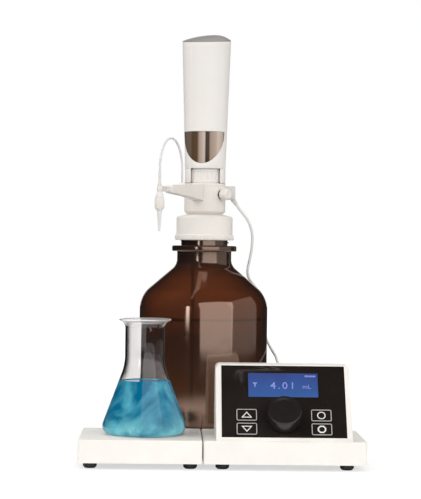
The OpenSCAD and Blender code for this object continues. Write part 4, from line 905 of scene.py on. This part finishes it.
def make_display_marks():
    """The reading, its unit, a small funnel and a bar of eight dashes."""
    thick = 0.06
    letters("display_value", "4.01", 11.4, -13.2, 57.5, bold=0.05, spacing=1.35)
    letters("display_unit", "mL", 7.0, 19.6, 57.9)
    funnel = flat_panel([(-2.6, 2.2), (2.6, 2.2), (0.6, -0.4), (0.6, -3), (-0.6, -3), (-0.6, -0.4)])
    display_mark("display_icon", raised(funnel, thick), -28.8, 62.5)
    bar = bmesh.new()
    for k in range(8):
        dash = flat_panel([(0, 0), (1.05, 0), (1.05, 2.1), (0, 2.1)])
        add(bar, raised(dash, thick), at(k * 1.4))
    display_mark("display_bar", bar, 22.4, 71.6)


def make_keys():
    """The four keys: flanged caps, with a printed frame and a symbol on each."""
    print_z, ink = 0.3, 0.08
    half_w, half_h = 10.3, 6.75
    corners = [(-half_w, -half_h), (half_w, -half_h), (half_w, half_h), (-half_w, half_h)]
    keys = [
        # key, across and up the panel, the symbol's shape, its line's width, and its lift
        ("key_up", -37.8, 26.0, flat_shape(3, 4.7, 0, 1.36), 0.95, -0.9),
        ("key_down", -37.8, 9.8, flat_shape(3, 4.7, 180, 1.36), 0.95, 0.9),
        ("key_cycle", 37.8, 26.0, flat_shape(48, 4.3), 1.0, 0.0),
        ("key_stop", 37.8, 9.8, flat_shape(8, 4.6, 22.5), 1.4, 0.0),
    ]
    for key, across, up, shape, stroke, lift in keys:
        border = outline_of(flat_panel(corners, 1.7), 0.85, ink)
        piece(key + "_frame", border, key, "key_print", (),
              on_panel(across, up, print_z))
        piece(key + "_symbol", outline_of(shape, stroke, ink), key, "key_symbol", (),
              on_panel(across, up + lift, print_z))
        cap = block(21.3, 14.2, 3.7, 0.35, 3, -3.4)
        add(cap, block(23.7, 14.2, 0.9, 0.2, 2, -4.0))
        piece(key + "_cap", cap, key, "panel_black", (key,), on_panel(across, up))


# ---- stage and light ----

def make_stage():
    """A white paper floor with the object's shadow on it, dark beyond the table in reflections."""
    near, far = (0.86, 0.86, 0.86), (0.03, 0.028, 0.026)
    bm = bmesh.new()
    bmesh.ops.create_circle(bm, cap_ends=True, segments=96, radius=9)
    mesh = bpy.data.meshes.new("floor")
    bm.to_mesh(mesh)
    bm.free()
    floor = bpy.data.objects.new("floor", mesh)
    bpy.context.scene.collection.objects.link(floor)
    floor.location.z = -0.0002
    paper = Finish("floor_paper", near, 0.9, Specular_IOR_Level=0.1)
    reach = paper.node("VectorMath", {"operation": "LENGTH"}, {0: paper.here()}, out="Value")
    paper.colour(paper.mix(paper.span(reach, 0.42, 0.6), near, far))
    # Seen straight or through glass it is white, but for the shadow round the object
    behind = paper.along((0, 1, 0), (0, 0, 0)) > 0.0
    seen = paper.ray("Camera") + paper.ray("Transmission") * behind > 0.5
    white = paper.node("Emission", {}, {"Color": (1, 1, 1), "Strength": 1.12})
    share = seen * paper.span(reach, 0.28, 0.42, 0.56, 1.0)
    lit = Value(paper, paper.shader.outputs["BSDF"])
    paper.send(paper.blend(share, lit, white), "Material Output")
    mesh.materials.append(paper.material)


def make_world():
    """White behind everything, an even glow on matt surfaces, a dim room in reflections."""
    world = bpy.data.worlds.new("studio")
    world.use_nodes = True
    bpy.context.scene.world = world
    studio = Shading(world.node_tree)
    glow = studio.tree.nodes["Background"]
    studio.put(glow.inputs["Color"], (1.0, 0.99, 0.975))
    studio.put(glow.inputs["Strength"], 0.97)
    room = studio.node("Background", {}, {"Color": (1, 1, 1), "Strength": 0.02})
    white = studio.node("Background", {}, {"Color": (1, 1, 1), "Strength": 1.0})
    surround = studio.blend(studio.ray("Glossy"), Value(studio, glow.outputs["Background"]), room)
    # The white backdrop stands behind the object, so only rays that head back meet it
    backwards = studio.node("VectorMath", {"operation": "DOT_PRODUCT"},
                            {0: studio.node("TexCoord", out="Generated"), 1: (0, 1, 0)}, out="Value")
    through = studio.ray("Transmission") * (backwards > 0.8)
    mirrored = studio.ray("Glossy") * (backwards > 0.95)
    seen = studio.ray("Camera") + through + mirrored > 0.5
    studio.send(studio.blend(seen, surround, white), "World Output")


def lamp(name, place, aim, width, height, watts, shines=True):
    """A soft box, in metres. One that doesn't shine lights the object but shows in no gloss."""
    data = bpy.data.lights.new(name, "AREA")
    data.shape = "RECTANGLE"
    data.size, data.size_y = width, height
    data.energy = watts
    obj = bpy.data.objects.new(name, data)
    obj.location = place
    obj.visible_glossy = shines
    obj.rotation_euler = (Vector(aim) - Vector(place)).to_track_quat("-Z", "Y").to_euler()
    bpy.context.scene.collection.objects.link(obj)


def make_light():
    """A large box at the right front, one at the right, a strip for the bottle, and two fills."""
    lamp("softbox_right", (0.8, -1.92, 0.75), (0, 0, 0.22), 2.6, 1.6, 17)
    lamp("softbox_side", (2.0, -0.35, 0.7), (0, 0, 0.2), 2.5, 1.6, 4.5)
    lamp("strip_left", (-1.1, -1.9, 0.45), (0, 0, 0.2), 0.22, 0.6, 1.8)
    lamp("fill_left", (-1.6, -1.35, 0.8), (0, 0, 0.22), 0.8, 1.3, 2.2, shines=False)
    lamp("fill_top", (-1.0, -0.2, 1.3), (0, 0, 0.1), 0.8, 0.8, 5, shines=False)


# ---- the whole part ----

def finish_nodes():
    """Gives every CAD node its finish, by its slot."""
    slots = {part["node"]: part["material_slot"] for part in frame["record"]["subparts"]}
    for node, obj in frame["nodes"].items():
        finish = FINISHES[SLOT_FINISH.get(slots[node], slots[node])]
        if not obj.data.materials:
            obj.data.materials.append(None)
        for k in range(len(obj.material_slots)):
            obj.material_slots[k].material = finish.material


make_camera()
make_cable()
finish_nodes()
make_bases()
make_flask()
make_bottle()
make_collar()
make_valve_block()
make_coupling_ring()
make_casing()
make_arm()
make_valve()
make_connector()
make_control_unit()
make_knob()
make_display_marks()
make_keys()
make_stage()
make_world()
make_light()
bpy.context.scene.view_settings.view_transform = "Standard"
